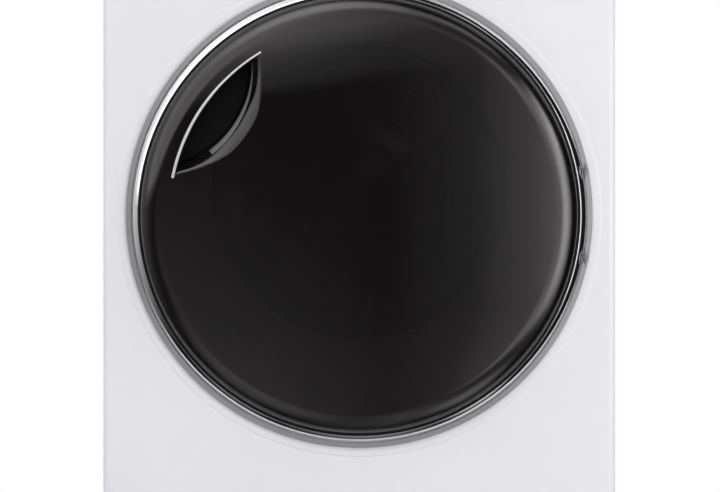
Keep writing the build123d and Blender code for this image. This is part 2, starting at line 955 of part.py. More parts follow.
# Turning lever on the cover
with BuildPart() as cover_lever:
    lever_back = front_plane(lever_boss_y - lever_gap)
    with BuildSketch(lever_back) as lever_outline:
        with Locations((lever_x, lever_z)):
            Circle(lever_radius)
            Rectangle(lever_width, lever_length, align=(Align.CENTER, Align.CENTER))
            Circle(lever_pin_radius + bearing_clearance, mode=Mode.SUBTRACT)
    extrude(lever_outline.sketch, amount=lever_thickness)
    fillet(cover_lever.edges().filter_by(Axis.Y).group_by(Axis.Z)[-1], lever_round)
    fillet(cover_lever.edges().filter_by(Axis.Y).group_by(Axis.Z)[0], lever_round)
finish("cover_lever", cover_lever.part)

# Control panel: a moulded fascia with the cut-out for the tank's front and holes for the controls
fascia_plane = front_plane()
tank_front_bottom = control_bottom + tank_front_margin
tank_front_top = control_top - tank_front_margin
display_x = (display_left + display_right) / 2
display_z = (display_bottom + display_top) / 2
display_width = display_right - display_left
display_height = display_top - display_bottom
with BuildPart() as control_panel:
    extrude(wrap_section(control_bottom, fascia_wall, wrap_y), amount=control_height)
    lip_x = (fascia_wall - half_width, half_width - fascia_wall)
    lip_y = (front_y + fascia_wall, front_y + front_wrap)
    add(slab(lip_x, lip_y, (control_bottom, control_bottom + fascia_wall)))
    add(slab(lip_x, lip_y, (control_top - fascia_wall, control_top)))
    add(
        slab(
            (tank_front_right + tank_front_gap, tank_front_right + tank_front_gap + fascia_wall),
            lip_y, (control_bottom, control_top),
        )
    )
    with BuildSketch(fascia_plane) as tank_gap:
        with Locations(((tank_front_left + tank_front_right) / 2, (tank_front_bottom + tank_front_top) / 2)):
            RectangleRounded(
                tank_front_right - tank_front_left + 2 * tank_front_gap,
                tank_front_top - tank_front_bottom + 2 * tank_front_gap,
                tank_front_corner + tank_front_gap,
            )
    extrude(tank_gap.sketch, amount=-fascia_wall, mode=Mode.SUBTRACT)
    with BuildSketch(fascia_plane) as display_seat:
        with Locations((display_x, display_z)):
            RectangleRounded(
                display_width + 2 * display_gap, display_height + 2 * display_gap,
                display_corner + display_gap,
            )
    extrude(display_seat.sketch, amount=-display_thickness, mode=Mode.SUBTRACT)
    with BuildSketch(front_plane(display_thickness)) as display_hole:
        with Locations((display_x, display_z)):
            Rectangle(display_width - 2 * display_rim, display_height - 2 * display_rim)
    extrude(display_hole.sketch, amount=-fascia_wall, mode=Mode.SUBTRACT)
    dial_seat_radius = dial_radius + dial_gap
    extrude(
        circle_at(front_plane(dial_recess), dial_seat_radius + dial_ring, dial_x, control_line),
        amount=-fascia_wall,
    )
    extrude(
        circle_at(fascia_plane, dial_seat_radius, dial_x, control_line), amount=-dial_recess,
        mode=Mode.SUBTRACT,
    )
    extrude(
        circle_at(fascia_plane, dial_shaft_radius + dial_gap, dial_x, control_line), amount=-front_wrap,
        mode=Mode.SUBTRACT,
    )
    for button_x, button_z, button_radius in (
        (power_x, power_z, power_radius),
        (start_x, start_z, start_radius),
    ):
        guide_outer = button_radius + button_gap + button_flange + fascia_wall
        extrude(circle_at(fascia_plane, guide_outer, button_x, button_z), amount=-button_guide_depth)
        extrude(
            circle_at(fascia_plane, button_radius + button_gap, button_x, button_z),
            amount=-button_guide_depth, mode=Mode.SUBTRACT,
        )
        extrude(
            circle_at(
                front_plane(fascia_wall + button_flange_gap), button_radius + button_gap + button_flange,
                button_x, button_z,
            ),
            amount=-button_guide_depth, mode=Mode.SUBTRACT,
        )
finish("control_panel", control_panel.part)

# Display window
with BuildPart() as display_window:
    with BuildSketch(fascia_plane):
        with Locations((display_x, display_z)):
            RectangleRounded(display_width, display_height, display_corner)
    extrude(amount=-display_thickness)
    chamfer(display_window.faces().sort_by(Axis.Y)[0].edges(), display_bevel)
finish("display_window", display_window.part)

# Control board in its case, with the switches behind the dial and the buttons
board_y = front_y + board_depth
with BuildPart() as control_board:
    add(slab((board_left, board_right), (board_y, board_y + board_thickness), (board_bottom, board_top)))
    add(
        slab(
            (board_left, board_right), (board_y + board_thickness, board_y + board_case_depth),
            (board_bottom, board_top),
        )
    )
    add(
        slab(
            (board_left + board_case_wall, board_right - board_case_wall),
            (board_y + board_thickness, board_y + board_case_depth - board_case_wall),
            (board_bottom + board_case_wall, board_top - board_case_wall),
        ),
        mode=Mode.SUBTRACT,
    )
    add(
        slab(
            (display_left + display_rim, display_right - display_rim),
            (front_y + display_thickness + fascia_wall, board_y),
            (display_bottom + display_rim, display_top - display_rim),
        )
    )
    for switch_x, switch_z in ((power_x, power_z), (start_x, start_z)):
        switch_front = button_stem_end + switch_gap
        add(
            slab(
                (switch_x - switch_size / 2, switch_x + switch_size / 2),
                (front_y + switch_front, board_y),
                (switch_z - switch_size / 2, switch_z + switch_size / 2),
            )
        )
    extrude(
        circle_at(front_plane(board_depth), dial_socket_radius, dial_x, control_line),
        amount=dial_socket_length,
    )
    extrude(
        circle_at(
            front_plane(board_depth - dial_socket_length), dial_shaft_radius + dial_shaft_gap,
            dial_x, control_line,
        ),
        amount=-dial_socket_length, mode=Mode.SUBTRACT,
    )
finish("control_board", control_board.part)

# Programme dial with a grooved grip and its shaft
with BuildPart() as programme_dial:
    dial_back = dial_recess - dial_float
    revolve(
        ring_section(
            control_line,
            [
                (0, dial_back),
                (dial_radius, dial_back),
                (dial_radius, dial_back - dial_skirt),
                (dial_radius - dial_draft, dial_bevel - dial_proud),
                (dial_radius - dial_draft - dial_bevel, -dial_proud),
                (0, -dial_proud),
            ],
            dial_x,
        ),
        axis=turning_axis(control_line, dial_x),
    )
    with BuildSketch(front_plane(dial_proud * -1)) as grooves:
        with Locations((dial_x, control_line)):
            with PolarLocations(dial_radius - dial_draft, dial_grooves):
                Circle(dial_groove_radius)
    extrude(grooves.sketch, amount=-dial_proud + dial_skirt - dial_back, mode=Mode.SUBTRACT)
    extrude(
        circle_at(front_plane(dial_back), dial_shaft_radius, dial_x, control_line),
        amount=dial_back - board_depth + dial_shaft_end,
    )
    with BuildSketch(front_plane(-dial_proud)) as pointer:
        with Locations((dial_x, control_line + dial_radius - dial_pointer_length)):
            SlotOverall(dial_pointer_length, dial_pointer_width, rotation=90)
    extrude(pointer.sketch, amount=-dial_pointer_depth, mode=Mode.SUBTRACT)
finish("programme_dial", programme_dial.part)

# Push buttons, each a cap with a retaining flange and a stem that reaches its switch
for name, button_x, button_z, button_radius in (
    ("power_button", power_x, power_z, power_radius),
    ("start_button", start_x, start_z, start_radius),
):
    with BuildPart() as button:
        flange_front = fascia_wall + button_flange_gap + button_float
        extrude(
            circle_at(front_plane(-button_proud), button_radius, button_x, button_z),
            amount=-button_proud - flange_front,
        )
        fillet(button.faces().sort_by(Axis.Y)[0].edges(), button_round)
        extrude(
            circle_at(front_plane(flange_front), button_radius + button_flange, button_x, button_z),
            amount=-button_flange_depth,
        )
        extrude(
            circle_at(front_plane(flange_front), button_stem_radius, button_x, button_z),
            amount=flange_front - button_stem_end,
        )
    finish(name, button.part)

# Water tank: a flat canister with a fill hole near its front and a ribbed top
tank_y = front_y + tank_start
tank_end = tank_y + tank_length
tank_top = tank_bottom + tank_height
tank_middle = (tank_left + tank_right) / 2
with BuildPart() as water_tank:
    add(slab((tank_left, tank_right), (tank_y, tank_end), (tank_bottom, tank_top)))
    fillet(water_tank.edges().filter_by(Axis.Z), tank_corner)
    add(
        slab(
            (tank_left + tank_wall, tank_right - tank_wall), (tank_y + tank_wall, tank_end - tank_wall),
            (tank_bottom + tank_wall, tank_top - tank_wall),
        ),
        mode=Mode.SUBTRACT,
    )
    for groove in range(tank_grooves):
        groove_y = tank_y + tank_groove_start + groove * tank_groove_pitch
        add(
            slab(
                (tank_left + tank_corner - tank_wall, tank_right - tank_corner + tank_wall),
                (groove_y - tank_wall, groove_y + tank_groove_width + tank_wall),
                (tank_bottom, tank_bottom + tank_groove_depth + tank_wall),
            )
        )
        add(
            slab(
                (tank_left + tank_corner, tank_right - tank_corner), (groove_y, groove_y + tank_groove_width),
                (tank_bottom, tank_bottom + tank_groove_depth),
            ),
            mode=Mode.SUBTRACT,
        )
    with BuildSketch(Plane.XY.offset(tank_top)) as fill_hole:
        with Locations((tank_middle, tank_y + tank_fill_distance)):
            Circle(tank_fill_radius)
    extrude(fill_hole.sketch, amount=-2 * tank_wall, mode=Mode.SUBTRACT)
finish("water_tank", water_tank.part)

# Tank front: the part of the fascia that pulls out with the tank, with a finger recess
with BuildPart() as tank_front:
    with BuildSketch(fascia_plane):
        with Locations((tank_middle_front, (tank_front_bottom + tank_front_top) / 2)):
            RectangleRounded(
                tank_front_right - tank_front_left, tank_front_top - tank_front_bottom, tank_front_corner
            )
    extrude(amount=-fascia_wall)
    grip_low = tank_front_bottom + grip_bottom
    grip_x = (tank_middle_front - grip_half_width, tank_middle_front + grip_half_width)
    grip_wall = fascia_wall - 1
    add(
        slab(
            (grip_x[0] - grip_wall, grip_x[1] + grip_wall), (front_y, front_y + grip_depth + grip_wall),
            (grip_low - grip_wall, grip_low + grip_height + grip_wall),
        )
    )
    add(slab(grip_x, (front_y, front_y + grip_depth), (grip_low, grip_low + grip_height)), mode=Mode.SUBTRACT)
    add(
        slab(
            (tank_left + tank_corner, tank_right - tank_corner), (front_y + fascia_wall, tank_y),
            (tank_bottom + tank_corner, tank_top - tank_corner),
        )
    )
finish("tank_front", tank_front.part)

# Tank housing: the tray under the worktop that guides the tank
housing_y = front_y + housing_start
with BuildPart() as tank_housing:
    housing_in_x = (tank_left - tank_clearance, tank_right + tank_clearance)
    housing_floor = tank_bottom - tank_seat_gap
    housing_top = control_top - sheet - tank_seat_gap
    add(
        slab(
            (housing_in_x[0] - housing_wall, housing_in_x[1] + housing_wall),
            (housing_y, housing_y + housing_length), (housing_floor - housing_wall, housing_top),
        )
    )
    add(
        slab(
            housing_in_x, (housing_y, housing_y + housing_length - housing_wall),
            (housing_floor, housing_top - housing_wall),
        ),
        mode=Mode.SUBTRACT,
    )
    inlet_y = housing_y + housing_length - housing_wall
    extrude(
        circle_at(front_plane(inlet_y - front_y), hose_radius, hose_end_x, hose_top), amount=-hose_socket
    )
    extrude(
        circle_at(front_plane(inlet_y - front_y), hose_radius - hose_wall, hose_end_x, hose_top),
        amount=-hose_socket, mode=Mode.SUBTRACT,
    )
finish("tank_housing", tank_housing.part)

# Door outer panel: a shallow dome that rolls over into a steep rim, with the handle's pocket cut out
dome_top = door_proud
dome_edge = door_proud - dome_drop
dome_radius = (dome_reach**2 + dome_drop**2) / (2 * dome_drop)
dome_slope = asin(dome_reach / dome_radius)
shoulder_r = dome_reach - shoulder_radius * sin(dome_slope)
shoulder_p = dome_edge - shoulder_radius * cos(dome_slope)
shoulder_end = radians(shoulder_turn)
shoulder_middle = (dome_slope + shoulder_end) / 2
door_axis = turning_axis(door_height)
frame_radius = trim_outer_radius - trim_wall - frame_gap
frame_front = frame_back_proud + frame_plate
ledge_back = door_rim_proud - trim_ledge_thickness
leaf_front = frame_front + leaf_thickness
leaf_rise = pivot_spacing / 2 + leaf_arm_height
leaf_notch_x = door_rim_radius - trim_ledge - leaf_width - hinge_clearance


def dome_proud(radius, inset=0.0):
    """How far the dome stands ahead of the front panel's face at a radius."""
    return dome_top - dome_radius + sqrt((dome_radius - inset) ** 2 - radius**2)


def shoulder_point(angle, inset=0.0):
    reach = shoulder_radius - inset
    return (shoulder_r + reach * sin(angle), front_y - shoulder_p - reach * cos(angle))


def radial_plane(height, angle):
    """A plane through a level axis, with its X outwards at the angle and its Y to the rear."""
    turn = radians(angle)
    return Plane(origin=(0, 0, height), x_dir=(cos(turn), 0, sin(turn)), z_dir=(-sin(turn), 0, cos(turn)))


def pocket_outline(plane, grow, outward=0.0):
    """The handle pocket: two arcs that meet in two corners."""
    outer = pocket_outer_radius + grow + outward
    half = radians(pocket_half_angle) + grow / pocket_outer_radius
    middle = radians(handle_angle)
    ends = [(outer * cos(middle + turn), outer * sin(middle + turn)) for turn in (-half, half)]
    inner = pocket_inner_reach - grow
    with BuildSketch(plane) as made:
        with BuildLine():
            ThreePointArc(ends[0], (outer * cos(middle), outer * sin(middle)), ends[1])
            ThreePointArc(ends[1], (inner * cos(middle), inner * sin(middle)), ends[0])
        make_face()
    return made.sketch


with BuildPart() as door_outer_panel:
    with BuildSketch(Plane.XY.offset(door_height)):
        with BuildLine():
            start = (0, front_y - dome_top)
            edge = (dome_reach, front_y - dome_edge)
            ThreePointArc(start, (dome_reach / 2, front_y - dome_proud(dome_reach / 2)), edge)
            ThreePointArc(edge, shoulder_point(shoulder_middle), shoulder_point(shoulder_end))
            Line(shoulder_point(shoulder_end), (door_rim_radius, front_y - door_rim_proud))
            inner_rim = (door_rim_radius - door_wall, front_y - door_rim_proud)
            Line((door_rim_radius, front_y - door_rim_proud), inner_rim)
            Line(inner_rim, shoulder_point(shoulder_end, door_wall))
            inner_edge = shoulder_point(dome_slope, door_wall)
            ThreePointArc(
                shoulder_point(shoulder_end, door_wall), shoulder_point(shoulder_middle, door_wall), inner_edge
            )
            inner_start = (0, front_y - dome_top + door_wall)
            ThreePointArc(
                inner_edge, (dome_reach / 2, front_y - dome_proud(dome_reach / 2, door_wall)), inner_start
            )
            Line(inner_start, start)
        make_face()
    revolve(axis=door_axis)
    extrude(pocket_outline(front_plane(0, door_height), 0), amount=dome_top, mode=Mode.SUBTRACT)
finish("door_outer_panel", door_outer_panel.part)

# Chrome ring round the door panel, an angle section whose ledge carries the panel's rim
with BuildPart() as door_trim_ring:
    revolve(
        ring_section(
            door_height,
            [
                (door_rim_radius, -trim_inner_proud),
                (trim_outer_radius, -trim_outer_proud),
                (trim_outer_radius, -trim_back_proud),
                (trim_outer_radius - trim_wall, -trim_back_proud),
                (trim_outer_radius - trim_wall, trim_wall - trim_outer_proud),
                (door_rim_radius + trim_wall, trim_ledge_thickness - door_rim_proud),
                (door_rim_radius - trim_ledge, trim_ledge_thickness - door_rim_proud),
                (door_rim_radius - trim_ledge, -door_rim_proud),
                (door_rim_radius, -door_rim_proud),
            ],
        ),
        axis=door_axis,
    )
    for side in (-1, 1):
        arm_z = door_height + side * pivot_spacing / 2
        arm_half = leaf_arm_height / 2 + hinge_clearance
        add(
            slab(
                (door_rim_radius / 2, cabinet_width), (front_y - leaf_front - hinge_clearance, front_y),
                (arm_z - arm_half, arm_z + arm_half),
            ),
            mode=Mode.SUBTRACT,
        )
finish("door_trim_ring", door_trim_ring.part)

# Handle cup: the pocket's walls and floor, undercut behind the silver trim for the fingertips
cup_floor = pocket_depth - dome_edge
with BuildPart() as handle_cup:
    extrude(
        pocket_outline(front_plane(cup_floor + pocket_wall, door_height), pocket_wall),
        amount=pocket_depth + pocket_wall - door_wall,
    )
    extrude(
        pocket_outline(front_plane(cup_floor + pocket_wall, door_height), pocket_wall, pocket_undercut),
        amount=pocket_undercut_height + 2 * pocket_wall,
    )
    extrude(pocket_outline(front_plane(cup_floor, door_height), 0), amount=pocket_depth, mode=Mode.SUBTRACT)
    extrude(
        pocket_outline(front_plane(cup_floor, door_height), 0, pocket_undercut),
        amount=pocket_undercut_height, mode=Mode.SUBTRACT,
    )
finish("handle_cup", handle_cup.part)

# Silver trim that lies on the dome along the pocket's outer edge
trim_in = pocket_outer_radius + handle_trim_edge
trim_out = trim_in + handle_trim_width
with BuildPart() as handle_trim:
    with BuildSketch(radial_plane(door_height, handle_angle - handle_trim_half_angle)):
        with BuildLine():
            Polyline(
                (trim_in, front_y - dome_proud(trim_in) - handle_trim_seat),
                (trim_out, front_y - dome_proud(trim_out) - handle_trim_seat),
                (trim_out, front_y - dome_proud(trim_out) - handle_trim_proud),
                (trim_in, front_y - dome_proud(trim_in) - handle_trim_proud),
                close=True,
            )
        make_face()
    revolve(axis=Axis((0, 0, door_height), (0, -1, 0)), revolution_arc=2 * handle_trim_half_angle)
finish("handle_trim", handle_trim.part)

# Door frame: the moulded back of the door, with a collar for the bowl and the seal, and stiffening ribs
opening_axis = turning_axis(opening_height)
with BuildPart() as door_frame:
    extrude(circle_at(front_plane(-frame_back_proud), frame_radius, y=door_height), amount=frame_plate)
    extrude(
        ring_at(
            front_plane(-frame_front), door_rim_radius - hinge_clearance, door_rim_radius - trim_ledge,
            y=door_height,
        ),
        amount=ledge_back - frame_front,
    )
    with BuildSketch(front_plane(-frame_front)) as ribs:
        with Locations((0, door_height)):
            with PolarLocations(0, frame_ribs, start_angle=180 / frame_ribs):
                Rectangle(
                    door_rim_radius - 2 * trim_ledge, frame_rib_width, align=(Align.MIN, Align.CENTER)
                )
    extrude(ribs.sketch, amount=frame_rib_height)
    extrude(
        circle_at(front_plane(frame_collar_depth), frame_collar_radius, y=opening_height),
        amount=frame_collar_depth + frame_front,
    )
    extrude(
        circle_at(front_plane(frame_collar_depth + 1), bowl_radius + bowl_fit, y=opening_height),
        amount=dome_top, mode=Mode.SUBTRACT,
    )
    add(
        slab(
            (leaf_notch_x, door_rim_radius), (front_y - dome_top, front_y - frame_front),
            (door_height - leaf_rise - hinge_clearance, door_height + leaf_rise + hinge_clearance),
        ),
        mode=Mode.SUBTRACT,
    )
    cup_room = front_plane(cup_floor + pocket_wall + hinge_clearance, door_height)
    extrude(
        pocket_outline(cup_room, 3 * pocket_wall, pocket_undercut), amount=dome_top, mode=Mode.SUBTRACT
    )
finish("door_frame", door_frame.part)

# Glass bowl that keeps the laundry off the door, with a flange on the frame's collar
with BuildPart() as door_glass:
    bowl_back = frame_collar_depth + bowl_flange
    with BuildSketch(Plane.XY.offset(opening_height)):
        with BuildLine():
            outside = FilletPolyline(
                (bowl_flange_radius, front_y + bowl_back),
                (bowl_radius, front_y + bowl_back),
                (bowl_radius - bowl_slope, front_y + bowl_depth),
                (0, front_y + bowl_depth),
                radius=(bowl_wall, bowl_round),
            )
            inside = FilletPolyline(
                (bowl_flange_radius, front_y + frame_collar_depth),
                (bowl_radius - bowl_wall, front_y + frame_collar_depth),
                (bowl_radius - bowl_wall - bowl_slope, front_y + bowl_depth - bowl_wall),
                (0, front_y + bowl_depth - bowl_wall),
                radius=(bowl_wall, bowl_round - bowl_wall),
            )
            Line(outside @ 0, inside @ 0)
            Line(outside @ 1, inside @ 1)
        make_face()
    revolve(axis=opening_axis)
finish("door_glass", door_glass.part)

# Door seal: a rubber ring whose lip stops just short of the front panel's recess
with BuildPart() as door_seal:
    seal_tip = recess_depth - seal_gap
    revolve(
        ring_section(
            opening_height,
            [
                (seal_inner_radius, frame_collar_depth),
                (seal_outer_radius, frame_collar_depth),
                (seal_outer_radius, frame_collar_depth + seal_base),
                (seal_outer_radius - seal_shoulder, seal_tip),
                (seal_inner_radius + seal_shoulder, seal_tip),
                (seal_inner_radius, frame_collar_depth + seal_base),
            ],
        ),
        axis=opening_axis,
    )
finish("door_seal", door_seal.part)

# Striker: a steel tongue with a window for the catch
with BuildPart() as door_striker:
    striker_foot_y = front_y - frame_back_proud
    add(
        slab(
            (striker_x - 2 * striker_width, striker_x + 2 * striker_width),
            (striker_foot_y, striker_foot_y + striker_plate),
            (door_height - striker_height, door_height + striker_height),
        )
    )
    add(
        slab(
            (striker_x - striker_width / 2, striker_x + striker_width / 2),
            (striker_foot_y, front_y + striker_reach),
            (door_height - striker_height / 2, door_height + striker_height / 2),
        )
    )
    chamfer(door_striker.faces().sort_by(Axis.Y)[-1].edges().filter_by(Axis.Z), striker_width / 3)
    window_back = front_y + striker_reach - 3 * striker_plate
    add(
        slab(
            (striker_x - striker_width, striker_x + striker_width), (window_back - striker_window, window_back),
            (door_height - striker_window / 2, door_height + striker_window / 2),
        ),
        mode=Mode.SUBTRACT,
    )
finish("door_striker", door_striker.part)

# Hinge leaf: a steel plate on the frame with two arms that end in rolled eyes
pivot_y = front_y - pivot_proud
pin_heights = [door_height - pivot_spacing / 2, door_height + pivot_spacing / 2]
with BuildPart() as hinge_leaf:
    leaf_y = (front_y - leaf_front, front_y - frame_front)
    leaf_right = door_rim_radius - trim_ledge
    add(
        slab(
            (leaf_right - leaf_width, leaf_right), leaf_y,
            (door_height - leaf_rise, door_height + leaf_rise),
        )
    )
    for pin_z in pin_heights:
        add(slab((leaf_right, pivot_x), leaf_y, (pin_z - leaf_arm_height / 2, pin_z + leaf_arm_height / 2)))
        eye_base = Plane.XY.offset(pin_z - ear_height / 2)
        extrude(circle_at(eye_base, ear_radius, pivot_x, pivot_y), amount=ear_height)
        extrude(
            circle_at(eye_base, pin_radius + pin_clearance, pivot_x, pivot_y), amount=ear_height,
            mode=Mode.SUBTRACT,
        )
finish("hinge_leaf", hinge_leaf.part)

# Hinge bracket: two lugs in the bezel's band, each with a pin, on one plate behind the front panel
bezel_section = [
    (bezel_inner_radius, -collar_proud),
    (bezel_inner_radius, -bezel_inner_proud),
    (bezel_outer_radius, -bezel_outer_proud),
    (bezel_outer_radius, -collar_proud),
]
with BuildPart() as hinge_bracket:
    revolve(ring_section(door_height, bezel_section), axis=door_axis)
    keep_x = (0, cabinet_width)
    keep_y = (front_y - door_proud, front_y + door_proud)
    low, high = pin_heights
    half_block = hinge_block_height / 2
    add(
        slab((-cabinet_width, 0), keep_y, (0, cabinet_height)), mode=Mode.SUBTRACT
    )
    for gap_z in (
        (0, low - half_block),
        (low + half_block, high - half_block),
        (high + half_block, cabinet_height),
    ):
        add(slab(keep_x, keep_y, gap_z), mode=Mode.SUBTRACT)
    for pin_z in pin_heights:
        slot_half = ear_height / 2 + ear_clearance
        add(slab(keep_x, keep_y, (pin_z - slot_half, pin_z + slot_half)), mode=Mode.SUBTRACT)
        extrude(
            circle_at(Plane.XY.offset(pin_z - half_block), pin_radius, pivot_x, pivot_y),
            amount=hinge_block_height,
        )
        add(
            slab(
                (hinge_stud_left, hinge_stud_right), (front_y - collar_proud, front_y + collar_back),
                (pin_z - half_block, pin_z + half_block),
            )
        )
    with BuildSketch(front_plane(collar_back)) as plate:
        with Locations((hinge_plate_x, door_height)):
            Rectangle(hinge_plate_width, pivot_spacing + hinge_plate_width)
        with Locations((0, door_height)):
            Circle(recess_mouth_radius + sheet + hinge_clearance, mode=Mode.SUBTRACT)
            Circle(collar_radius - collar_slope - hinge_clearance, mode=Mode.INTERSECT)
    extrude(plate.sketch, amount=-hinge_plate)
finish("hinge_bracket", hinge_bracket.part)

# Bezel: the grey ring on the collar, broken by the hinge's lugs
with BuildPart() as door_bezel:
    revolve(ring_section(door_height, bezel_section), axis=door_axis)
    for pin_z in pin_heights:
        add(slab((0, cabinet_width), keep_y, (pin_z - half_block, pin_z + half_block)), mode=Mode.SUBTRACT)
finish("door_bezel", door_bezel.part)

# Latch housing behind the recess, with a post for the pawl
latch_left = striker_x - latch_left_room
latch_right = latch_left + latch_width
latch_y = (front_y + recess_depth + sheet, front_y + recess_depth + sheet + latch_depth)
latch_z = (door_height - latch_height / 2, door_height + latch_height / 2)
pawl_y = front_y + pawl_depth
pawl_x = striker_x + striker_width / 2 + pawl_gap + pawl_length
with BuildPart() as latch_housing:
    add(slab((latch_left, latch_right), latch_y, latch_z))
    add(
        slab(
            (latch_left + latch_wall, latch_right - latch_wall), (latch_y[0], latch_y[1] - latch_wall),
            (latch_z[0] + latch_wall, latch_z[1] - latch_wall),
        ),
        mode=Mode.SUBTRACT,
    )
    extrude(
        circle_at(Plane.XY.offset(latch_z[0] + latch_wall), pawl_pin_radius, pawl_x, pawl_y),
        amount=latch_height - 2 * latch_wall,
    )
    pawl_seat = door_height - pawl_thickness / 2 - pawl_float
    extrude(
        circle_at(Plane.XY.offset(latch_z[0] + latch_wall), pawl_radius, pawl_x, pawl_y),
        amount=pawl_seat - latch_z[0] - latch_wall,
    )
finish("latch_housing", latch_housing.part)

# Pawl, drawn clear of the striker
with BuildPart() as latch_pawl:
    with BuildSketch(Plane.XY.offset(door_height - pawl_thickness / 2)):
        with BuildLine():
            Polyline(
                (pawl_x, pawl_y - pawl_radius),
                (pawl_x - pawl_length + pawl_radius, pawl_y - pawl_radius / 2),
                (pawl_x - pawl_length, pawl_y + pawl_radius / 2),
                (pawl_x - pawl_length, pawl_y + pawl_radius),
                (pawl_x, pawl_y + pawl_radius),
                close=True,
            )
        make_face()
        with Locations((pawl_x, pawl_y)):
            Circle(pawl_radius)
            Circle(pawl_pin_radius + bearing_clearance, mode=Mode.SUBTRACT)
    extrude(amount=pawl_thickness)
finish("latch_pawl", latch_pawl.part)

# Front bulkhead: closes the drum's front, with the loading tube, the lint chute and the rollers' axles
tube_front = recess_depth + sheet
drum_axis = turning_axis(drum_height)
lid_top = channel_top + duct_wall
slot_depths = (filter_front - filter_clearance, filter_front + filter_thickness + filter_clearance)
slot_half = filter_half_width + filter_clearance
chute_top = opening_height - sqrt((opening_radius + tube_wall / 2) ** 2 - slot_half**2)
roller_centre = drum_radius + roller_gap + roller_radius
roller_x = roller_centre * sin(radians(roller_angle))
roller_z = drum_height - roller_centre * cos(radians(roller_angle))
roller_places = [(-roller_x, roller_z), (roller_x, roller_z)]
light_x = light_distance * cos(radians(light_angle))
light_z = opening_height + light_distance * sin(radians(light_angle))


def chute_outline(plane, grow):
    """The chute, which widens from the filter to the air channel below it."""
    with BuildSketch(plane) as made:
        with BuildLine():
            Polyline(
                (-slot_half - grow, chute_top),
                (-slot_half - grow, filter_bottom + chute_bend),
                (channel_left - grow, filter_bottom),
                (channel_left - grow, lid_top),
                (channel_right + grow, lid_top),
                (slot_half + grow, lid_top + chute_foot),
                (slot_half + grow, chute_top),
                close=True,
            )
        make_face()
    return made.sketch


with BuildPart() as front_bulkhead:
    with BuildSketch(front_plane(bulkhead_back)) as face_outline:
        with Locations((0, (lid_top + bulkhead_top) / 2)):
            RectangleRounded(2 * bulkhead_half_width, bulkhead_top - lid_top, bulkhead_corner)
    extrude(face_outline.sketch, amount=bulkhead_wall)
    extrude(
        chute_outline(front_plane(bulkhead_back), bulkhead_wall),
        amount=bulkhead_back - chute_front + bulkhead_wall,
    )
    extrude(
        chute_outline(front_plane(slot_depths[1]), 0), amount=slot_depths[1] - chute_front,
        mode=Mode.SUBTRACT,
    )
    extrude(
        circle_at(front_plane(bulkhead_back), opening_radius + tube_wall, y=opening_height),
        amount=bulkhead_back - tube_front,
    )
    extrude(
        circle_at(front_plane(tube_front + tube_wall), tube_flange_radius, y=opening_height), amount=tube_wall
    )
    extrude(
        circle_at(front_plane(bulkhead_back), opening_radius, y=opening_height), amount=bulkhead_back,
        mode=Mode.SUBTRACT,
    )
    add(
        slab(
            (-slot_half, slot_half), (front_y + slot_depths[0], front_y + slot_depths[1]),
            (opening_height - opening_radius - 2 * tube_wall, opening_height - opening_radius / 2),
        ),
        mode=Mode.SUBTRACT,
    )
    for rest_x in (-slot_half, slot_half - filter_rest):
        add(
            slab(
                (rest_x, rest_x + filter_rest), (front_y + slot_depths[0], front_y + slot_depths[1]),
                (filter_bottom - bulkhead_wall, filter_bottom - filter_seat_gap),
            )
        )
    for radius, reach in (
        (roller_axle_radius + bulkhead_wall, roller_start - roller_side_gap),
        (roller_axle_radius, roller_start + roller_width + roller_axle_end),
    ):
        with BuildSketch(front_plane(bulkhead_back)) as axles:
            with Locations(*roller_places):
                Circle(radius)
        extrude(axles.sketch, amount=bulkhead_back - reach)
    extrude(
        circle_at(front_plane(bulkhead_back), light_radius, light_x, light_z), amount=bulkhead_wall,
        mode=Mode.SUBTRACT,
    )
finish("front_bulkhead", front_bulkhead.part)

# Felts: a ring on the bulkhead and a ring on the rear panel, each just short of the drum
felt_outer = drum_radius - felt_bead_inset - felt_bead_shoulder
with BuildPart() as drum_felts:
    for felt_depth in (drum_front - felt_gap, bead_top):
        extrude(
            ring_at(front_plane(felt_depth), felt_outer, felt_outer - felt_width, y=drum_height),
            amount=felt_thickness,
        )
finish("drum_felts", drum_felts.part)

# Drum shell: a rolled cylinder with a folded front lip and two stiffening beads
shell_end = drum_front + drum_length


def shell_side(radius):
    """The cylinder's side from front to back, dipping inwards at each bead."""
    line = []
    for bead_start in (drum_front + drum_bead_inset, shell_end - drum_bead_inset - drum_bead_width):
        bead_end = bead_start + drum_bead_width
        line += [
            (radius, bead_start),
            (radius - drum_bead_depth, bead_start + drum_bead_depth),
            (radius - drum_bead_depth, bead_end - drum_bead_depth),
            (radius, bead_end),
        ]
    return line


with BuildPart() as drum_shell:
    inner = drum_radius - drum_sheet
    outside = [(drum_radius - drum_lip, drum_front), (drum_radius, drum_front)]
    outside += shell_side(drum_radius) + [(drum_radius, shell_end)]
    inside = [(drum_radius - drum_lip, drum_front + drum_sheet), (inner, drum_front + drum_sheet)]
    inside += shell_side(inner) + [(inner, shell_end)]
    revolve(ring_section(drum_height, outside + inside[::-1]), axis=drum_axis)
finish("drum_shell", drum_shell.part)

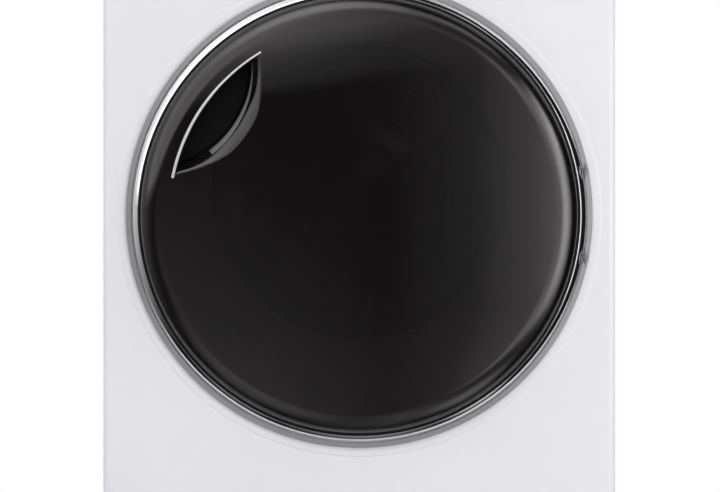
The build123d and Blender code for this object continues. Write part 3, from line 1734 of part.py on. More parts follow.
# Drum back: a pressed disc with air holes, its hub set forward for the shaft
hub_depth = shell_end - drum_dish - drum_hub_proud
shaft_end = rear_face + sheet + bearing_length / 2 + drum_shaft_end
with BuildPart() as drum_back:
    rear_side = [
        (0, hub_depth),
        (drum_hub_radius, hub_depth),
        (drum_hub_radius + 2 * drum_hub_proud, shell_end - drum_dish),
        (felt_outer - felt_width - 2 * drum_dish, shell_end - drum_dish),
        (felt_outer - felt_width - drum_dish, shell_end),
        (inner, shell_end),
    ]
    front_side = [(radius, depth - drum_sheet) for radius, depth in rear_side]
    revolve(ring_section(drum_height, rear_side + front_side[::-1]), axis=drum_axis)
    with BuildSketch(front_plane(shell_end)) as air_holes:
        with Locations((0, drum_height)):
            for row in range(air_hole_rows):
                row_radius = air_hole_first + row * air_hole_step
                with PolarLocations(row_radius, air_holes_in_row):
                    SlotOverall(air_hole_length, 2 * air_hole_radius)
    extrude(air_holes.sketch, amount=2 * drum_dish, mode=Mode.SUBTRACT)
finish("drum_back", drum_back.part)

# Drum shaft with its flange on the hub
with BuildPart() as drum_shaft:
    extrude(
        circle_at(front_plane(shaft_end), drum_shaft_radius, y=drum_height), amount=shaft_end - hub_depth
    )
    extrude(
        circle_at(front_plane(hub_depth + drum_shaft_flange), drum_hub_radius - drum_hub_proud, y=drum_height),
        amount=drum_shaft_flange,
    )
    chamfer(drum_shaft.faces().sort_by(Axis.Y)[-1].edges(), drum_shaft_flange / 2)
finish("drum_shaft", drum_shaft.part)

# Lifters that carry the laundry up
with BuildPart() as drum_lifters:
    with BuildSketch(front_plane(shell_end - lifter_margin)) as lifter:
        with Locations((0, drum_height)):
            with PolarLocations(0, lifter_count, start_angle=lifter_angle):
                Polygon(
                    (drum_radius, -lifter_foot / 2),
                    (drum_radius - lifter_height / 2, -lifter_crest * lifter_waist),
                    (drum_radius - lifter_height, -lifter_crest / 2),
                    (drum_radius - lifter_height, lifter_crest / 2),
                    (drum_radius - lifter_height / 2, lifter_crest * lifter_waist),
                    (drum_radius, lifter_foot / 2),
                    align=None,
                )
            Circle(inner - lifter_seat_gap, mode=Mode.INTERSECT)
    extrude(lifter.sketch, amount=drum_length - 2 * lifter_margin)
finish("drum_lifters", drum_lifters.part)

# Rear bearing in the rear panel
with BuildPart() as rear_bearing:
    extrude(
        circle_at(front_plane(rear_face), bearing_flange_radius, y=drum_height), amount=bearing_flange
    )
    extrude(
        circle_at(front_plane(rear_face + bearing_length), bearing_radius, y=drum_height),
        amount=bearing_length,
    )
    extrude(
        circle_at(
            front_plane(rear_face + bearing_length), drum_shaft_radius + bearing_clearance, y=drum_height
        ),
        amount=cabinet_depth, mode=Mode.SUBTRACT,
    )
finish("rear_bearing", rear_bearing.part)

# Front rollers with a rubber tread groove
for name, (place_x, place_z) in zip(("left_roller", "right_roller"), roller_places):
    with BuildPart() as roller:
        roller_end = roller_start + roller_width
        bore = roller_axle_radius + roller_clearance
        revolve(
            ring_section(
                place_z,
                [
                    (bore, roller_start),
                    (roller_hub_radius, roller_start),
                    (roller_hub_radius, roller_start + roller_dish),
                    (roller_radius - roller_tread, roller_start + roller_dish),
                    (roller_radius - roller_tread, roller_start),
                    (roller_radius, roller_start),
                    (roller_radius, roller_end),
                    (roller_radius - roller_tread, roller_end),
                    (roller_radius - roller_tread, roller_end - roller_dish),
                    (roller_hub_radius, roller_end - roller_dish),
                    (roller_hub_radius, roller_end),
                    (bore, roller_end),
                ],
                place_x,
            ),
            axis=turning_axis(place_z, place_x),
        )
    finish(name, roller.part)

# Drum light in the bulkhead
with BuildPart() as drum_light:
    extrude(
        circle_at(front_plane(bulkhead_back), light_radius - light_fit, light_x, light_z),
        amount=light_depth,
    )
    extrude(
        circle_at(front_plane(bulkhead_back + light_lens), light_radius + light_lens, light_x, light_z),
        amount=light_lens,
    )
finish("drum_light", drum_light.part)

# Lint filter: a pocket with fine mesh moulded into its windows, its top flush with the loading tube
filter_y = (front_y + filter_front, front_y + filter_front + filter_thickness)
window_high = opening_height - opening_radius - 2 * filter_wall - filter_grip_depth
window_step = (window_high - filter_bottom - filter_wall) / filter_window_rows


def filter_outline(plane, grow):
    with BuildSketch(plane) as made:
        with Locations((0, filter_bottom - grow)):
            Rectangle(
                2 * (filter_half_width + grow), opening_height - filter_bottom,
                align=(Align.CENTER, Align.MIN),
            )
        with Locations((0, opening_height)):
            Circle(opening_radius - grow, mode=Mode.SUBTRACT)
            Rectangle(cabinet_width, 2 * filter_top_cut, mode=Mode.SUBTRACT)
    return made.sketch


with BuildPart() as lint_filter:
    filter_back = filter_front + filter_thickness
    extrude(filter_outline(front_plane(filter_back), 0), amount=filter_thickness)
    extrude(
        filter_outline(front_plane(filter_back - filter_wall), -filter_wall),
        amount=filter_thickness - 2 * filter_wall, mode=Mode.SUBTRACT,
    )
    for row in range(filter_window_rows):
        for column in (-1, 1):
            window_x = sorted((column * filter_wall, column * (filter_half_width - 2 * filter_wall)))
            window_low = filter_bottom + 2 * filter_wall + row * window_step
            add(
                slab(
                    window_x, (filter_y[0] - 1, filter_y[1] + 1),
                    (window_low, window_low + window_step - 2 * filter_wall),
                ),
                mode=Mode.SUBTRACT,
            )
    with BuildSketch(front_plane(filter_back - filter_grip_wall)) as grip:
        with Locations((0, opening_height - opening_radius)):
            Rectangle(filter_grip_width, 2 * filter_grip_depth)
    extrude(grip.sketch, amount=filter_thickness - 2 * filter_grip_wall, mode=Mode.SUBTRACT)
    for mesh_y in (filter_y[0] + filter_wall - filter_mesh, filter_y[1] - filter_wall):
        add(
            slab(
                (filter_wall - filter_half_width, filter_half_width - filter_wall),
                (mesh_y, mesh_y + filter_mesh), (filter_bottom + filter_wall, window_high),
            )
        )
finish("lint_filter", lint_filter.part)

# Belt: a closed loop over the drum, round the motor's pulley and along the tensioner's wheel
belt_inside = belt_gap + belt_thickness / 2
wheel_x = tensioner_x
wheel_z = tensioner_z
belt_circles = [
    (0.0, drum_height, drum_radius + belt_inside),
    (motor_x, motor_z, pulley_radius + belt_inside),
    (wheel_x, wheel_z, -tensioner_radius - belt_inside),
]


def belt_heading(first, second):
    """Direction of the straight run from one circle to the next, in radians."""
    along, up = second[0] - first[0], second[1] - first[1]
    return atan2(up, along) + asin((first[2] - second[2]) / hypot(along, up))


belt_headings = [
    belt_heading(circle, belt_circles[(index + 1) % len(belt_circles)])
    for index, circle in enumerate(belt_circles)
]


def belt_outline(plane, grow):
    """The loop moved outwards from the belt's middle."""
    with BuildSketch(plane) as made:
        with BuildLine():
            ends = []
            for index, (x, z, radius) in enumerate(belt_circles):
                arrive, leave = belt_headings[index - 1], belt_headings[index]
                reach = radius + grow
                turn = (leave - arrive) % (2 * pi) if radius > 0 else -((arrive - leave) % (2 * pi))
                points = [
                    (x + reach * sin(heading), z - reach * cos(heading))
                    for heading in (arrive, arrive + turn / 2, arrive + turn)
                ]
                ThreePointArc(*points)
                ends.append((points[0], points[2]))
            for index, (_, left_at) in enumerate(ends):
                Line(left_at, ends[(index + 1) % len(ends)][0])
        make_face()
    return made.sketch


belt_plane = front_plane(belt_line + belt_width / 2 - front_y)
with BuildPart() as drum_belt:
    extrude(belt_outline(belt_plane, belt_thickness / 2), amount=belt_width)
    extrude(belt_outline(belt_plane, -belt_thickness / 2), amount=belt_width, mode=Mode.SUBTRACT)
finish("drum_belt", drum_belt.part)

# Motor: a finned can with two end bells and the bore for its shaft
motor_y = (motor_front, motor_front + motor_length)
motor_axis = turning_axis(motor_z, motor_x)
with BuildPart() as motor:
    motor_ends = (motor_y[0] - front_y, motor_y[1] - front_y)
    revolve(
        ring_section(
            motor_z,
            [
                (motor_shaft_radius + bearing_clearance, motor_ends[0]),
                (motor_bell_radius, motor_ends[0]),
                (motor_radius, motor_ends[0] + motor_bell),
                (motor_radius, motor_ends[1] - motor_bell),
                (motor_bell_radius, motor_ends[1]),
                (motor_shaft_radius + bearing_clearance, motor_ends[1]),
            ],
            motor_x,
        ),
        axis=motor_axis,
    )
    with BuildSketch(front_plane(motor_ends[1] - 2 * motor_bell)) as fins:
        with Locations((motor_x, motor_z)):
            with PolarLocations(motor_radius - motor_fin, motor_fins):
                Rectangle(2 * motor_fin, motor_fin_width, align=(Align.MIN, Align.CENTER))
    extrude(fins.sketch, amount=motor_length - 4 * motor_bell)
finish("motor", motor.part)

# Motor shaft with the flanged belt pulley at its front end
pulley_front = belt_line - pulley_width / 2 - front_y
pulley_back = belt_line + pulley_width / 2 - front_y
fan_back = fan_front + fan_width - front_y
with BuildPart() as motor_shaft:
    revolve(
        ring_section(
            motor_z,
            [
                (0, pulley_front),
                (pulley_radius + pulley_flange, pulley_front),
                (pulley_radius, pulley_front + pulley_flange / 2),
                (pulley_radius, pulley_back - pulley_flange / 2),
                (pulley_radius + pulley_flange, pulley_back),
                (motor_shaft_radius, pulley_back),
                (motor_shaft_radius, fan_back),
                (0, fan_back),
            ],
            motor_x,
        ),
        axis=motor_axis,
    )
finish("motor_shaft", motor_shaft.part)

# Fan impeller: a back plate, a ring and blades between them
with BuildPart() as fan_impeller:
    fan_nose = fan_front - front_y
    fan_plane = front_plane(fan_back)
    extrude(circle_at(fan_plane, fan_radius, motor_x, motor_z), amount=fan_plate)
    extrude(
        circle_at(fan_plane, fan_hub_radius, motor_x, motor_z), amount=fan_width - fan_hub_step
    )
    with BuildSketch(fan_plane) as blades:
        with Locations((motor_x, motor_z)):
            with PolarLocations(fan_radius - fan_blade_depth, fan_blades):
                with Locations(Location((0, 0), fan_blade_angle)):
                    Rectangle(fan_blade_depth, fan_blade_thickness, align=(Align.MIN, Align.CENTER))
    extrude(blades.sketch, amount=fan_width)
    extrude(
        ring_at(
            front_plane(fan_nose + fan_plate), fan_radius, fan_radius - fan_blade_depth, motor_x, motor_z
        ),
        amount=fan_plate,
    )
    extrude(
        circle_at(fan_plane, motor_shaft_radius, motor_x, motor_z), amount=fan_width, mode=Mode.SUBTRACT
    )
finish("fan_impeller", fan_impeller.part)

# Fan housing: one moulding that closes the air channel's top and wraps the fan
scroll_front = fan_nose - fan_gap
with BuildPart() as fan_housing:
    add(
        slab(
            (channel_left - duct_wall, channel_right + duct_wall),
            (tray_y + tray_wall, front_y + scroll_front + duct_wall), (channel_top, lid_top),
        )
    )
    add(
        slab(
            (channel_left, channel_right),
            (front_y + chute_front, front_y + slot_depths[1]), (channel_top - 1, lid_top + 1),
        ),
        mode=Mode.SUBTRACT,
    )
    add(
        slab(
            (belt_slot_left, belt_slot_right),
            (belt_line - belt_width / 2 - belt_slot_margin, belt_line + belt_width / 2 + belt_slot_margin),
            (channel_top - 1, lid_top + 1),
        ),
        mode=Mode.SUBTRACT,
    )
    extrude(
        circle_at(front_plane(rear_face), scroll_outer, motor_x, motor_z), amount=rear_face - scroll_front
    )
    extrude(
        circle_at(front_plane(rear_face), scroll_inner, motor_x, motor_z),
        amount=rear_face - scroll_front - duct_wall, mode=Mode.SUBTRACT,
    )
    extrude(
        circle_at(front_plane(rear_face), fan_inlet_radius, motor_x, motor_z), amount=rear_face,
        mode=Mode.SUBTRACT,
    )
finish("fan_housing", fan_housing.part)

# Belt tensioner: an arm on a post of the motor's bracket, with a wheel that rides on the belt's back
wheel_front = belt_line - belt_width / 2 - front_y
wheel_back = belt_line + belt_width / 2 - front_y
arm_depth = arm_front - front_y
with BuildPart() as tensioner_arm:
    with BuildSketch(front_plane(arm_depth + tensioner_arm_thickness)) as arm:
        with Locations((wheel_x, wheel_z), (tensioner_pivot_x, tensioner_pivot_z)):
            Circle(tensioner_arm_width / 2)
        make_hull()
        with Locations((tensioner_pivot_x, tensioner_pivot_z)):
            Circle(tensioner_pin_radius + tensioner_clearance, mode=Mode.SUBTRACT)
    extrude(arm.sketch, amount=tensioner_arm_thickness)
    extrude(
        circle_at(front_plane(arm_depth), tensioner_pin_radius, wheel_x, wheel_z),
        amount=arm_depth - wheel_front + roller_side_gap,
    )
finish("tensioner_arm", tensioner_arm.part)

with BuildPart() as tensioner_pulley:
    extrude(circle_at(front_plane(wheel_back), tensioner_radius, wheel_x, wheel_z), amount=belt_width)
    extrude(
        circle_at(front_plane(wheel_back), tensioner_pin_radius + tensioner_clearance, wheel_x, wheel_z),
        amount=belt_width, mode=Mode.SUBTRACT,
    )
    for face_depth in (wheel_front + roller_dish, wheel_back):
        extrude(
            ring_at(
                front_plane(face_depth), tensioner_radius - roller_dish, tensioner_hub_radius, wheel_x, wheel_z
            ),
            amount=roller_dish, mode=Mode.SUBTRACT,
        )
finish("tensioner_pulley", tensioner_pulley.part)

# Compressor: a welded can with a domed top on a three-armed foot
compressor_low = tray_floor + compressor_pad
with BuildPart() as compressor:
    with BuildSketch(Plane.XY.offset(compressor_low)) as foot_plate:
        with Locations((compressor_x, compressor_y)):
            with PolarLocations(compressor_foot_radius, 3, start_angle=90):
                Circle(compressor_pad_radius)
        make_hull()
    extrude(foot_plate.sketch, amount=compressor_foot)
    with BuildSketch(Plane.XZ.offset(-compressor_y)) as can:
        with BuildLine():
            can_top = compressor_low + compressor_height
            FilletPolyline(
                (compressor_x, compressor_low),
                (compressor_x + compressor_radius, compressor_low),
                (compressor_x + compressor_radius, can_top),
                (compressor_x, can_top),
                radius=(1, compressor_dome),
            )
            Line((compressor_x, can_top), (compressor_x, compressor_low))
        make_face()
    revolve(can.sketch, axis=Axis((compressor_x, compressor_y, 0), (0, 0, 1)))
    with Locations((compressor_x, compressor_y, compressor_low + compressor_height / 2)):
        Cylinder(compressor_radius + compressor_seam, compressor_foot)
    add(
        slab(
            (compressor_x - compressor_box / 2, compressor_x + compressor_box / 2),
            (
                compressor_y + compressor_radius - compressor_foot,
                compressor_y + compressor_radius + compressor_box / 2,
            ),
            (can_top - compressor_dome - compressor_box, can_top - compressor_dome),
        )
    )
finish("compressor", compressor.part)


# Heat exchangers: end plates with a stack of upright fins, and the pipes brazed to each
def exchanger_block(start, depth):
    width = exchanger_right - exchanger_left
    fins = int((width - 2 * exchanger_plate) // fin_pitch)
    middle = (exchanger_left + exchanger_right) / 2
    with BuildSketch(front_plane(start + depth - front_y)) as made:
        with Locations((middle, exchanger_bottom)):
            Rectangle(width, exchanger_height, align=(Align.CENTER, Align.MIN))
        with Locations((middle, exchanger_bottom + exchanger_height / 2)):
            with GridLocations(fin_pitch, 0, fins, 1):
                Rectangle(
                    fin_pitch - fin_thickness, exchanger_height - 2 * exchanger_plate, mode=Mode.SUBTRACT
                )
    return made.sketch


def pipe(points):
    """A copper tube along straight runs joined by bends."""
    with BuildPart() as made:
        with BuildLine() as route:
            FilletPolyline(*points, radius=pipe_bend)
        with BuildSketch(Plane(origin=points[0], z_dir=route.line % 0)):
            Circle(pipe_radius)
        sweep(path=route.line)
    return made.part


pipe_wall_x = exchanger_right
compressor_side = compressor_x - compressor_radius
with BuildPart() as evaporator:
    extrude(exchanger_block(evaporator_y, evaporator_depth), amount=evaporator_depth)
    add(
        pipe(
            [
                (pipe_wall_x, evaporator_middle, pipe_high),
                (suction_x, evaporator_middle, pipe_high),
                (suction_x, compressor_y, pipe_high),
                (compressor_side - pipe_touch, compressor_y, pipe_high),
            ]
        )
    )
finish("evaporator", evaporator.part)

with BuildPart() as condenser:
    extrude(exchanger_block(condenser_start, condenser_depth), amount=condenser_depth)
    add(
        pipe(
            [
                (pipe_wall_x, condenser_middle, pipe_low),
                (discharge_x, condenser_middle, pipe_low),
                (discharge_x, compressor_y + discharge_offset, pipe_low),
                (compressor_side + discharge_touch, compressor_y + discharge_offset, pipe_low),
            ]
        )
    )
    add(
        pipe(
            [
                (pipe_wall_x, condenser_middle - capillary_offset, pipe_low),
                (pipe_wall_x + capillary_reach, condenser_middle - capillary_offset, pipe_low),
                (pipe_wall_x + capillary_reach, evaporator_middle + capillary_end, pipe_low),
                (pipe_wall_x + pipe_touch, evaporator_middle + capillary_end, pipe_low),
            ]
        )
    )
finish("condenser", condenser.part)

# Condensate pump: a sump pot with a motor head and an outlet for the hose
with BuildPart() as condensate_pump:
    with Locations((pump_x, pump_y, tray_floor)):
        Cylinder(pump_radius, pump_height / 2, align=(Align.CENTER, Align.CENTER, Align.MIN))
        Cylinder(pump_radius * pump_head_share, pump_height, align=(Align.CENTER, Align.CENTER, Align.MIN))
    chamfer(condensate_pump.faces().sort_by(Axis.Z)[-1].edges(), hose_wall)
finish("condensate_pump", condensate_pump.part)

# Hose from the pump up the rear right corner and across to the tank's housing
with BuildPart() as condensate_hose:
    pump_top = tray_floor + pump_height
    hose_points = [
        (pump_x, pump_y, pump_top),
        (pump_x, pump_y, pump_top + hose_rise),
        (hose_corner_x, hose_corner_y, pump_top + 2 * hose_rise),
        (hose_corner_x, hose_corner_y, hose_top),
        (hose_end_x, hose_corner_y, hose_top),
        (hose_end_x, front_y + housing_start + housing_length + hose_socket - housing_wall, hose_top),
    ]
    with BuildLine() as hose_route:
        FilletPolyline(*hose_points, radius=hose_bend)
    with BuildSketch(Plane(origin=hose_points[0], z_dir=(0, 0, 1))):
        Circle(hose_radius)
        Circle(hose_radius - hose_wall, mode=Mode.SUBTRACT)
    sweep(path=hose_route.line)
finish("condensate_hose", condensate_hose.part)

# Mains gland in the rear panel
with BuildPart() as mains_gland:
    gland_plane = front_plane(rear_face + gland_outer)
    extrude(circle_at(gland_plane, gland_radius, gland_x, gland_z), amount=gland_length)
    extrude(
        circle_at(front_plane(rear_face + sheet + gland_nut), gland_radius + gland_nut, gland_x, gland_z),
        amount=gland_nut,
    )
    extrude(circle_at(front_plane(rear_face), gland_radius + gland_nut, gland_x, gland_z), amount=gland_nut)
    extrude(
        circle_at(gland_plane, gland_bore, gland_x, gland_z), amount=gland_length, mode=Mode.SUBTRACT
    )
finish("mains_gland", mains_gland.part)

print(len(pieces), "pieces")
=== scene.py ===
"""Looks of the heat pump tumble dryer. Metres, +Z up, X to the right and -Y to the front."""

import json
from math import acos, asin, atan2, cos, pi, radians, sin, sqrt

import bmesh
import bpy
from mathutils import Matrix, Vector


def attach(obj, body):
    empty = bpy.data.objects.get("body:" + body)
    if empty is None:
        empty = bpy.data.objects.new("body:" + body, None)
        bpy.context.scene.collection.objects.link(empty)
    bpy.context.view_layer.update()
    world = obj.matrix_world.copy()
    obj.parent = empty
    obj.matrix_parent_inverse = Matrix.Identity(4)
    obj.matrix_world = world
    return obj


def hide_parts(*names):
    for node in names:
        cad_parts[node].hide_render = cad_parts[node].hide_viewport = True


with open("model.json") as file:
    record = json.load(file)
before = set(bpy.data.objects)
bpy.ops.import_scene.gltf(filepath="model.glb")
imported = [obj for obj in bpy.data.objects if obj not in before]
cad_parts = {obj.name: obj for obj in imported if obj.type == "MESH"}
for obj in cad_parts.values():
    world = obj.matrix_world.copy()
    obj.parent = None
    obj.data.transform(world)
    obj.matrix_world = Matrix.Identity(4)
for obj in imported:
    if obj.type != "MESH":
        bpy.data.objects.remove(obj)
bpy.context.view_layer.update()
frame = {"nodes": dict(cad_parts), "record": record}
nodes = frame["nodes"]
scene = bpy.context.scene
scene.view_settings.view_transform = "Standard"

# Main places, repeated from the CAD
FRONT = -0.2825
REAR = 0.285
DOOR_Z = 0.432
OPENING_Z = 0.460
DRUM_Z = 0.475


# Materials
class Shader:
    """A node material with one principled surface and the object's own coordinates."""

    def __init__(self, name):
        self.material = bpy.data.materials.new(name)
        self.material.use_nodes = True
        self.tree = self.material.node_tree
        self.surface = next(n for n in self.tree.nodes if n.type == "BSDF_PRINCIPLED")
        self.output = next(n for n in self.tree.nodes if n.type == "OUTPUT_MATERIAL")
        self.places = self.add("ShaderNodeTexCoord")

    def add(self, kind, **settings):
        node = self.tree.nodes.new(kind)
        for key, value in settings.items():
            setattr(node, key, value)
        return node

    def link(self, source, target):
        self.tree.links.new(source, target)

    def set(self, **values):
        for key, value in values.items():
            self.surface.inputs[key.replace("_", " ")].default_value = value

    def stretched(self, scale):
        """Object coordinates scaled along each axis."""
        mapping = self.add("ShaderNodeMapping")
        mapping.inputs["Scale"].default_value = scale
        self.link(self.places.outputs["Object"], mapping.inputs["Vector"])
        return mapping.outputs["Vector"]

    def noise(self, scale, detail, stretch=(1, 1, 1)):
        node = self.add("ShaderNodeTexNoise")
        node.inputs["Scale"].default_value = scale
        node.inputs["Detail"].default_value = detail
        node.inputs["Roughness"].default_value = 0.55
        self.link(self.stretched(stretch), node.inputs["Vector"])
        return node.outputs["Fac"]

    def ramp(self, factor, stops):
        node = self.add("ShaderNodeValToRGB")
        band = node.color_ramp
        while len(band.elements) < len(stops):
            band.elements.new(0.5)
        for element, (place, colour) in zip(band.elements, stops):
            element.position = place
            element.color = (*colour, 1)
        self.link(factor, node.inputs["Fac"])
        return node.outputs["Color"]

    def spread(self, factor, low, high):
        """The factor, taken from 0..1 to low..high."""
        node = self.add("ShaderNodeMapRange")
        node.inputs["From Min"].default_value = 0.3
        node.inputs["From Max"].default_value = 0.7
        node.inputs["To Min"].default_value = low
        node.inputs["To Max"].default_value = high
        self.link(factor, node.inputs["Value"])
        return node.outputs["Result"]

    def bump(self, height, strength, distance):
        node = self.add("ShaderNodeBump")
        node.inputs["Strength"].default_value = strength
        node.inputs["Distance"].default_value = distance
        self.link(height, node.inputs["Height"])
        self.link(node.outputs["Normal"], self.surface.inputs["Normal"])

    def coloured(self, factor, colour, change):
        """The surface's colour, in three near shades of one colour."""
        shades = [
            (0.3, tuple(c * (1 - change) for c in colour)),
            (0.5, colour),
            (0.7, tuple(min(1, c * (1 + change)) for c in colour)),
        ]
        self.link(self.ramp(factor, shades), self.surface.inputs["Base Color"])

    def roughened(self, factor, low, high):
        self.link(self.spread(factor, low, high), self.surface.inputs["Roughness"])


def paint(name, colour, change=0.015, roughness=(0.28, 0.36), peel=0.04, grain=900, gloss=1.45):
    """Enamel or moulded gloss plastic: faint clouding, uneven gloss and a fine orange peel."""
    made = Shader(name)
    made.coloured(made.noise(7, 3), colour, change)
    made.roughened(made.noise(22, 5), *roughness)
    made.bump(made.noise(grain, 2), peel, 0.0004)
    made.set(IOR=gloss)
    return made.material


def moulded(name, colour, roughness=(0.42, 0.55), depth=0.12, change=0.04, gloss=1.45):
    """Matt moulded plastic with a spark-eroded grain of the given depth."""
    made = Shader(name)
    made.coloured(made.noise(12, 4), colour, change)
    made.roughened(made.noise(40, 5), *roughness)
    cells = made.add("ShaderNodeTexVoronoi")
    cells.inputs["Scale"].default_value = 1500
    made.link(made.places.outputs["Object"], cells.inputs["Vector"])
    made.bump(cells.outputs["Distance"], depth, 0.0003)
    made.set(IOR=gloss)
    return made.material


def lit(name, colour, strength):
    """A frosted lens with a lamp behind it."""
    made = Shader(name)
    made.coloured(made.noise(40, 2), colour, 0.02)
    made.set(Roughness=0.4, Emission_Color=(*colour, 1), Emission_Strength=strength)
    return made.material


def metal(name, colour, roughness, scale, stretch=(1, 1, 1), depth=0.03, change=0.05, metallic=1.0):
    """Bare metal, with brushing drawn out along the axis that is stretched least."""
    made = Shader(name)
    made.coloured(made.noise(scale, 5, stretch), colour, change)
    made.roughened(made.noise(scale * 2, 6, stretch), *roughness)
    made.bump(made.noise(scale * 4, 4, stretch), depth, 0.0002)
    made.set(Metallic=metallic)
    return made.material


def spangle(name, colour):
    """Galvanised steel with its crystal spangle."""
    made = Shader(name)
    cells = made.add("ShaderNodeTexVoronoi")
    cells.inputs["Scale"].default_value = 110
    made.link(made.places.outputs["Object"], cells.inputs["Vector"])
    made.coloured(cells.outputs["Color"], colour, 0.05)
    made.roughened(cells.outputs["Color"], 0.46, 0.54)
    made.bump(made.noise(300, 3), 0.04, 0.0003)
    made.set(Metallic=1.0)
    return made.material


def rubber(name, colour):
    """Dull rubber with a fine grain."""
    made = Shader(name)
    made.coloured(made.noise(30, 4), colour, 0.08)
    made.roughened(made.noise(80, 4), 0.55, 0.72)
    made.bump(made.noise(700, 3), 0.12, 0.0003)
    return made.material


def fabric(name, colour):
    """Pressed wool felt."""
    made = Shader(name)
    made.coloured(made.noise(260, 6), colour, 0.2)
    made.bump(made.noise(900, 6), 0.6, 0.001)
    made.set(Roughness=0.95, Sheen_Weight=0.35)
    return made.material


def smoked(name):
    """Glossy black plastic that lets a little light through."""
    made = Shader(name)
    made.coloured(made.noise(5, 3), (0.0042, 0.0038, 0.0038), 0.12)
    made.roughened(made.noise(14, 4), 0.035, 0.06)
    made.bump(made.noise(60, 2), 0.006, 0.0003)
    made.set(IOR=1.46)
    behind = made.add("ShaderNodeBsdfTransparent")
    behind.inputs["Color"].default_value = (0.27, 0.25, 0.25, 1)
    both = made.add("ShaderNodeAddShader")
    made.link(made.surface.outputs[0], both.inputs[0])
    made.link(behind.outputs[0], both.inputs[1])
    made.link(both.outputs[0], made.output.inputs[0])
    return made.material


def clear(name):
    """Pressed glass with a faint ripple."""
    made = Shader(name)
    made.coloured(made.noise(6, 3), (0.93, 0.96, 0.95), 0.02)
    made.roughened(made.noise(20, 3), 0.02, 0.05)
    made.bump(made.noise(25, 2), 0.02, 0.001)
    made.set(Transmission_Weight=0.92, IOR=1.5)
    return made.material


def spun(name, colour):
    """Steel turned on a lathe: fine rings round the drum's axis."""
    made = Shader(name)
    centred = made.add("ShaderNodeVectorMath", operation="MULTIPLY_ADD")
    made.link(made.places.outputs["Object"], centred.inputs[0])
    centred.inputs[1].default_value = (1, 0, 1)
    centred.inputs[2].default_value = (0, 0, -DRUM_Z)
    radius = made.add("ShaderNodeVectorMath", operation="LENGTH")
    made.link(centred.outputs[0], radius.inputs[0])
    rings = made.add("ShaderNodeTexNoise", noise_dimensions="1D")
    rings.inputs["Scale"].default_value = 700
    rings.inputs["Detail"].default_value = 5
    made.link(radius.outputs["Value"], rings.inputs["W"])
    made.coloured(rings.outputs["Fac"], colour, 0.06)
    made.roughened(made.noise(14, 3), 0.24, 0.34)
    made.bump(rings.outputs["Fac"], 0.12, 0.0003)
    made.set(Metallic=1.0)
    return made.material


WHITE = (0.768, 0.757, 0.790)
STEEL = (0.6, 0.59, 0.57)
finishes = {
    "white_paint": paint("white_enamel", WHITE, roughness=(0.36, 0.44), peel=0.03, gloss=1.3),
    "white_plastic": paint("white_moulding", (0.785, 0.785, 0.8), roughness=(0.3, 0.4), peel=0.02),
    "grey_plastic": moulded("dark_grey_moulding", (0.085, 0.085, 0.09)),
    "light_grey_plastic": moulded("light_grey_moulding", (0.42, 0.43, 0.44)),
    "black_panel": smoked("smoked_panel"),
    "black_plastic": moulded("black_moulding", (0.014, 0.014, 0.015), (0.35, 0.5), depth=0.06),
    "bezel_grey": paint(
        "silver_grey_lacquer", (0.24, 0.245, 0.26), change=0.04, roughness=(0.32, 0.42), peel=0.05
    ),
    "chrome": metal("polished_chrome", (0.86, 0.86, 0.87), (0.03, 0.07), scale=20, depth=0.004, change=0.02),
    "silver_trim": metal(
        "satin_silver", (0.6, 0.59, 0.58), (0.28, 0.36), scale=160, depth=0.01, metallic=0.3
    ),
    "clear_glass": clear("pressed_glass"),
    "seal_rubber": rubber("grey_seal", (0.09, 0.09, 0.095)),
    "black_rubber": rubber("black_rubber", (0.02, 0.02, 0.02)),
    "zinc_steel": spangle("galvanised_steel", (0.47, 0.48, 0.49)),
    "screw_zinc": metal("screw_zinc", (0.6, 0.61, 0.63), (0.25, 0.35), scale=90),
    "stainless": metal(
        "brushed_stainless", STEEL, (0.26, 0.34), stretch=(1, 14, 1), scale=70, depth=0.012
    ),
    "spun_steel": spun("spun_stainless", STEEL),
    "felt": fabric("wool_felt", (0.42, 0.39, 0.32)),
    "black_enamel": paint("black_enamel", (0.018, 0.018, 0.019), roughness=(0.3, 0.42), peel=0.12, grain=400),
    "fin_aluminium": metal("fin_aluminium", (0.74, 0.75, 0.76), (0.3, 0.42), stretch=(1, 1, 8), scale=80),
    # Matt black of the ring at the panel's rim: painted shade
    "rim_shade_black": moulded("rim_shade_black", (0.006, 0.006, 0.006), (0.6, 0.7), depth=0.05, gloss=1.12),
    "pocket_black": moulded("pocket_black", (0.004, 0.004, 0.004), (0.5, 0.6), depth=0.05, gloss=1.12),
    "lamp_lens": lit("lamp_lens", (1.0, 0.97, 0.92), 6.0),
    # Satin grey of the hinge leaf, and of the lip strip, which is a painted highlight
    "insert_grey": moulded("satin_grey_and_lip_highlight", (0.17, 0.17, 0.178), (0.3, 0.4), depth=0.03, change=0.06),
    "belt_rubber": rubber("belt_rubber", (0.02, 0.02, 0.021)),
}
node_slots = {row["node"]: row["material_slot"] for row in frame["record"]["subparts"]}


def repaint(obj, material):
    obj.data.materials.clear()
    obj.data.materials.append(material)


for name, obj in nodes.items():
    repaint(obj, finishes[node_slots[name]])
repaint(nodes["hinge_bracket"], finishes["bezel_grey"])
repaint(nodes["hinge_leaf"], finishes["insert_grey"])
repaint(nodes["drum_light"], finishes["lamp_lens"])


def mesh_object(name, made, material, smooth=False):
    """A new object from a bmesh, its faces turned outwards."""
    bmesh.ops.recalc_face_normals(made, faces=made.faces)
    data = bpy.data.meshes.new(name)
    made.to_mesh(data)
    made.free()
    obj = bpy.data.objects.new(name, data)
    scene.collection.objects.link(obj)
    data.materials.append(material)
    if smooth:
        data.shade_smooth()
    return obj


def join_rings(made, rings):
    """Faces between each ring of vertices and the next, each ring closed on itself."""
    for first, second in zip(rings, rings[1:]):
        for n in range(len(first)):
            m = (n + 1) % len(first)
            made.faces.new((first[n], first[m], second[m], second[n]))


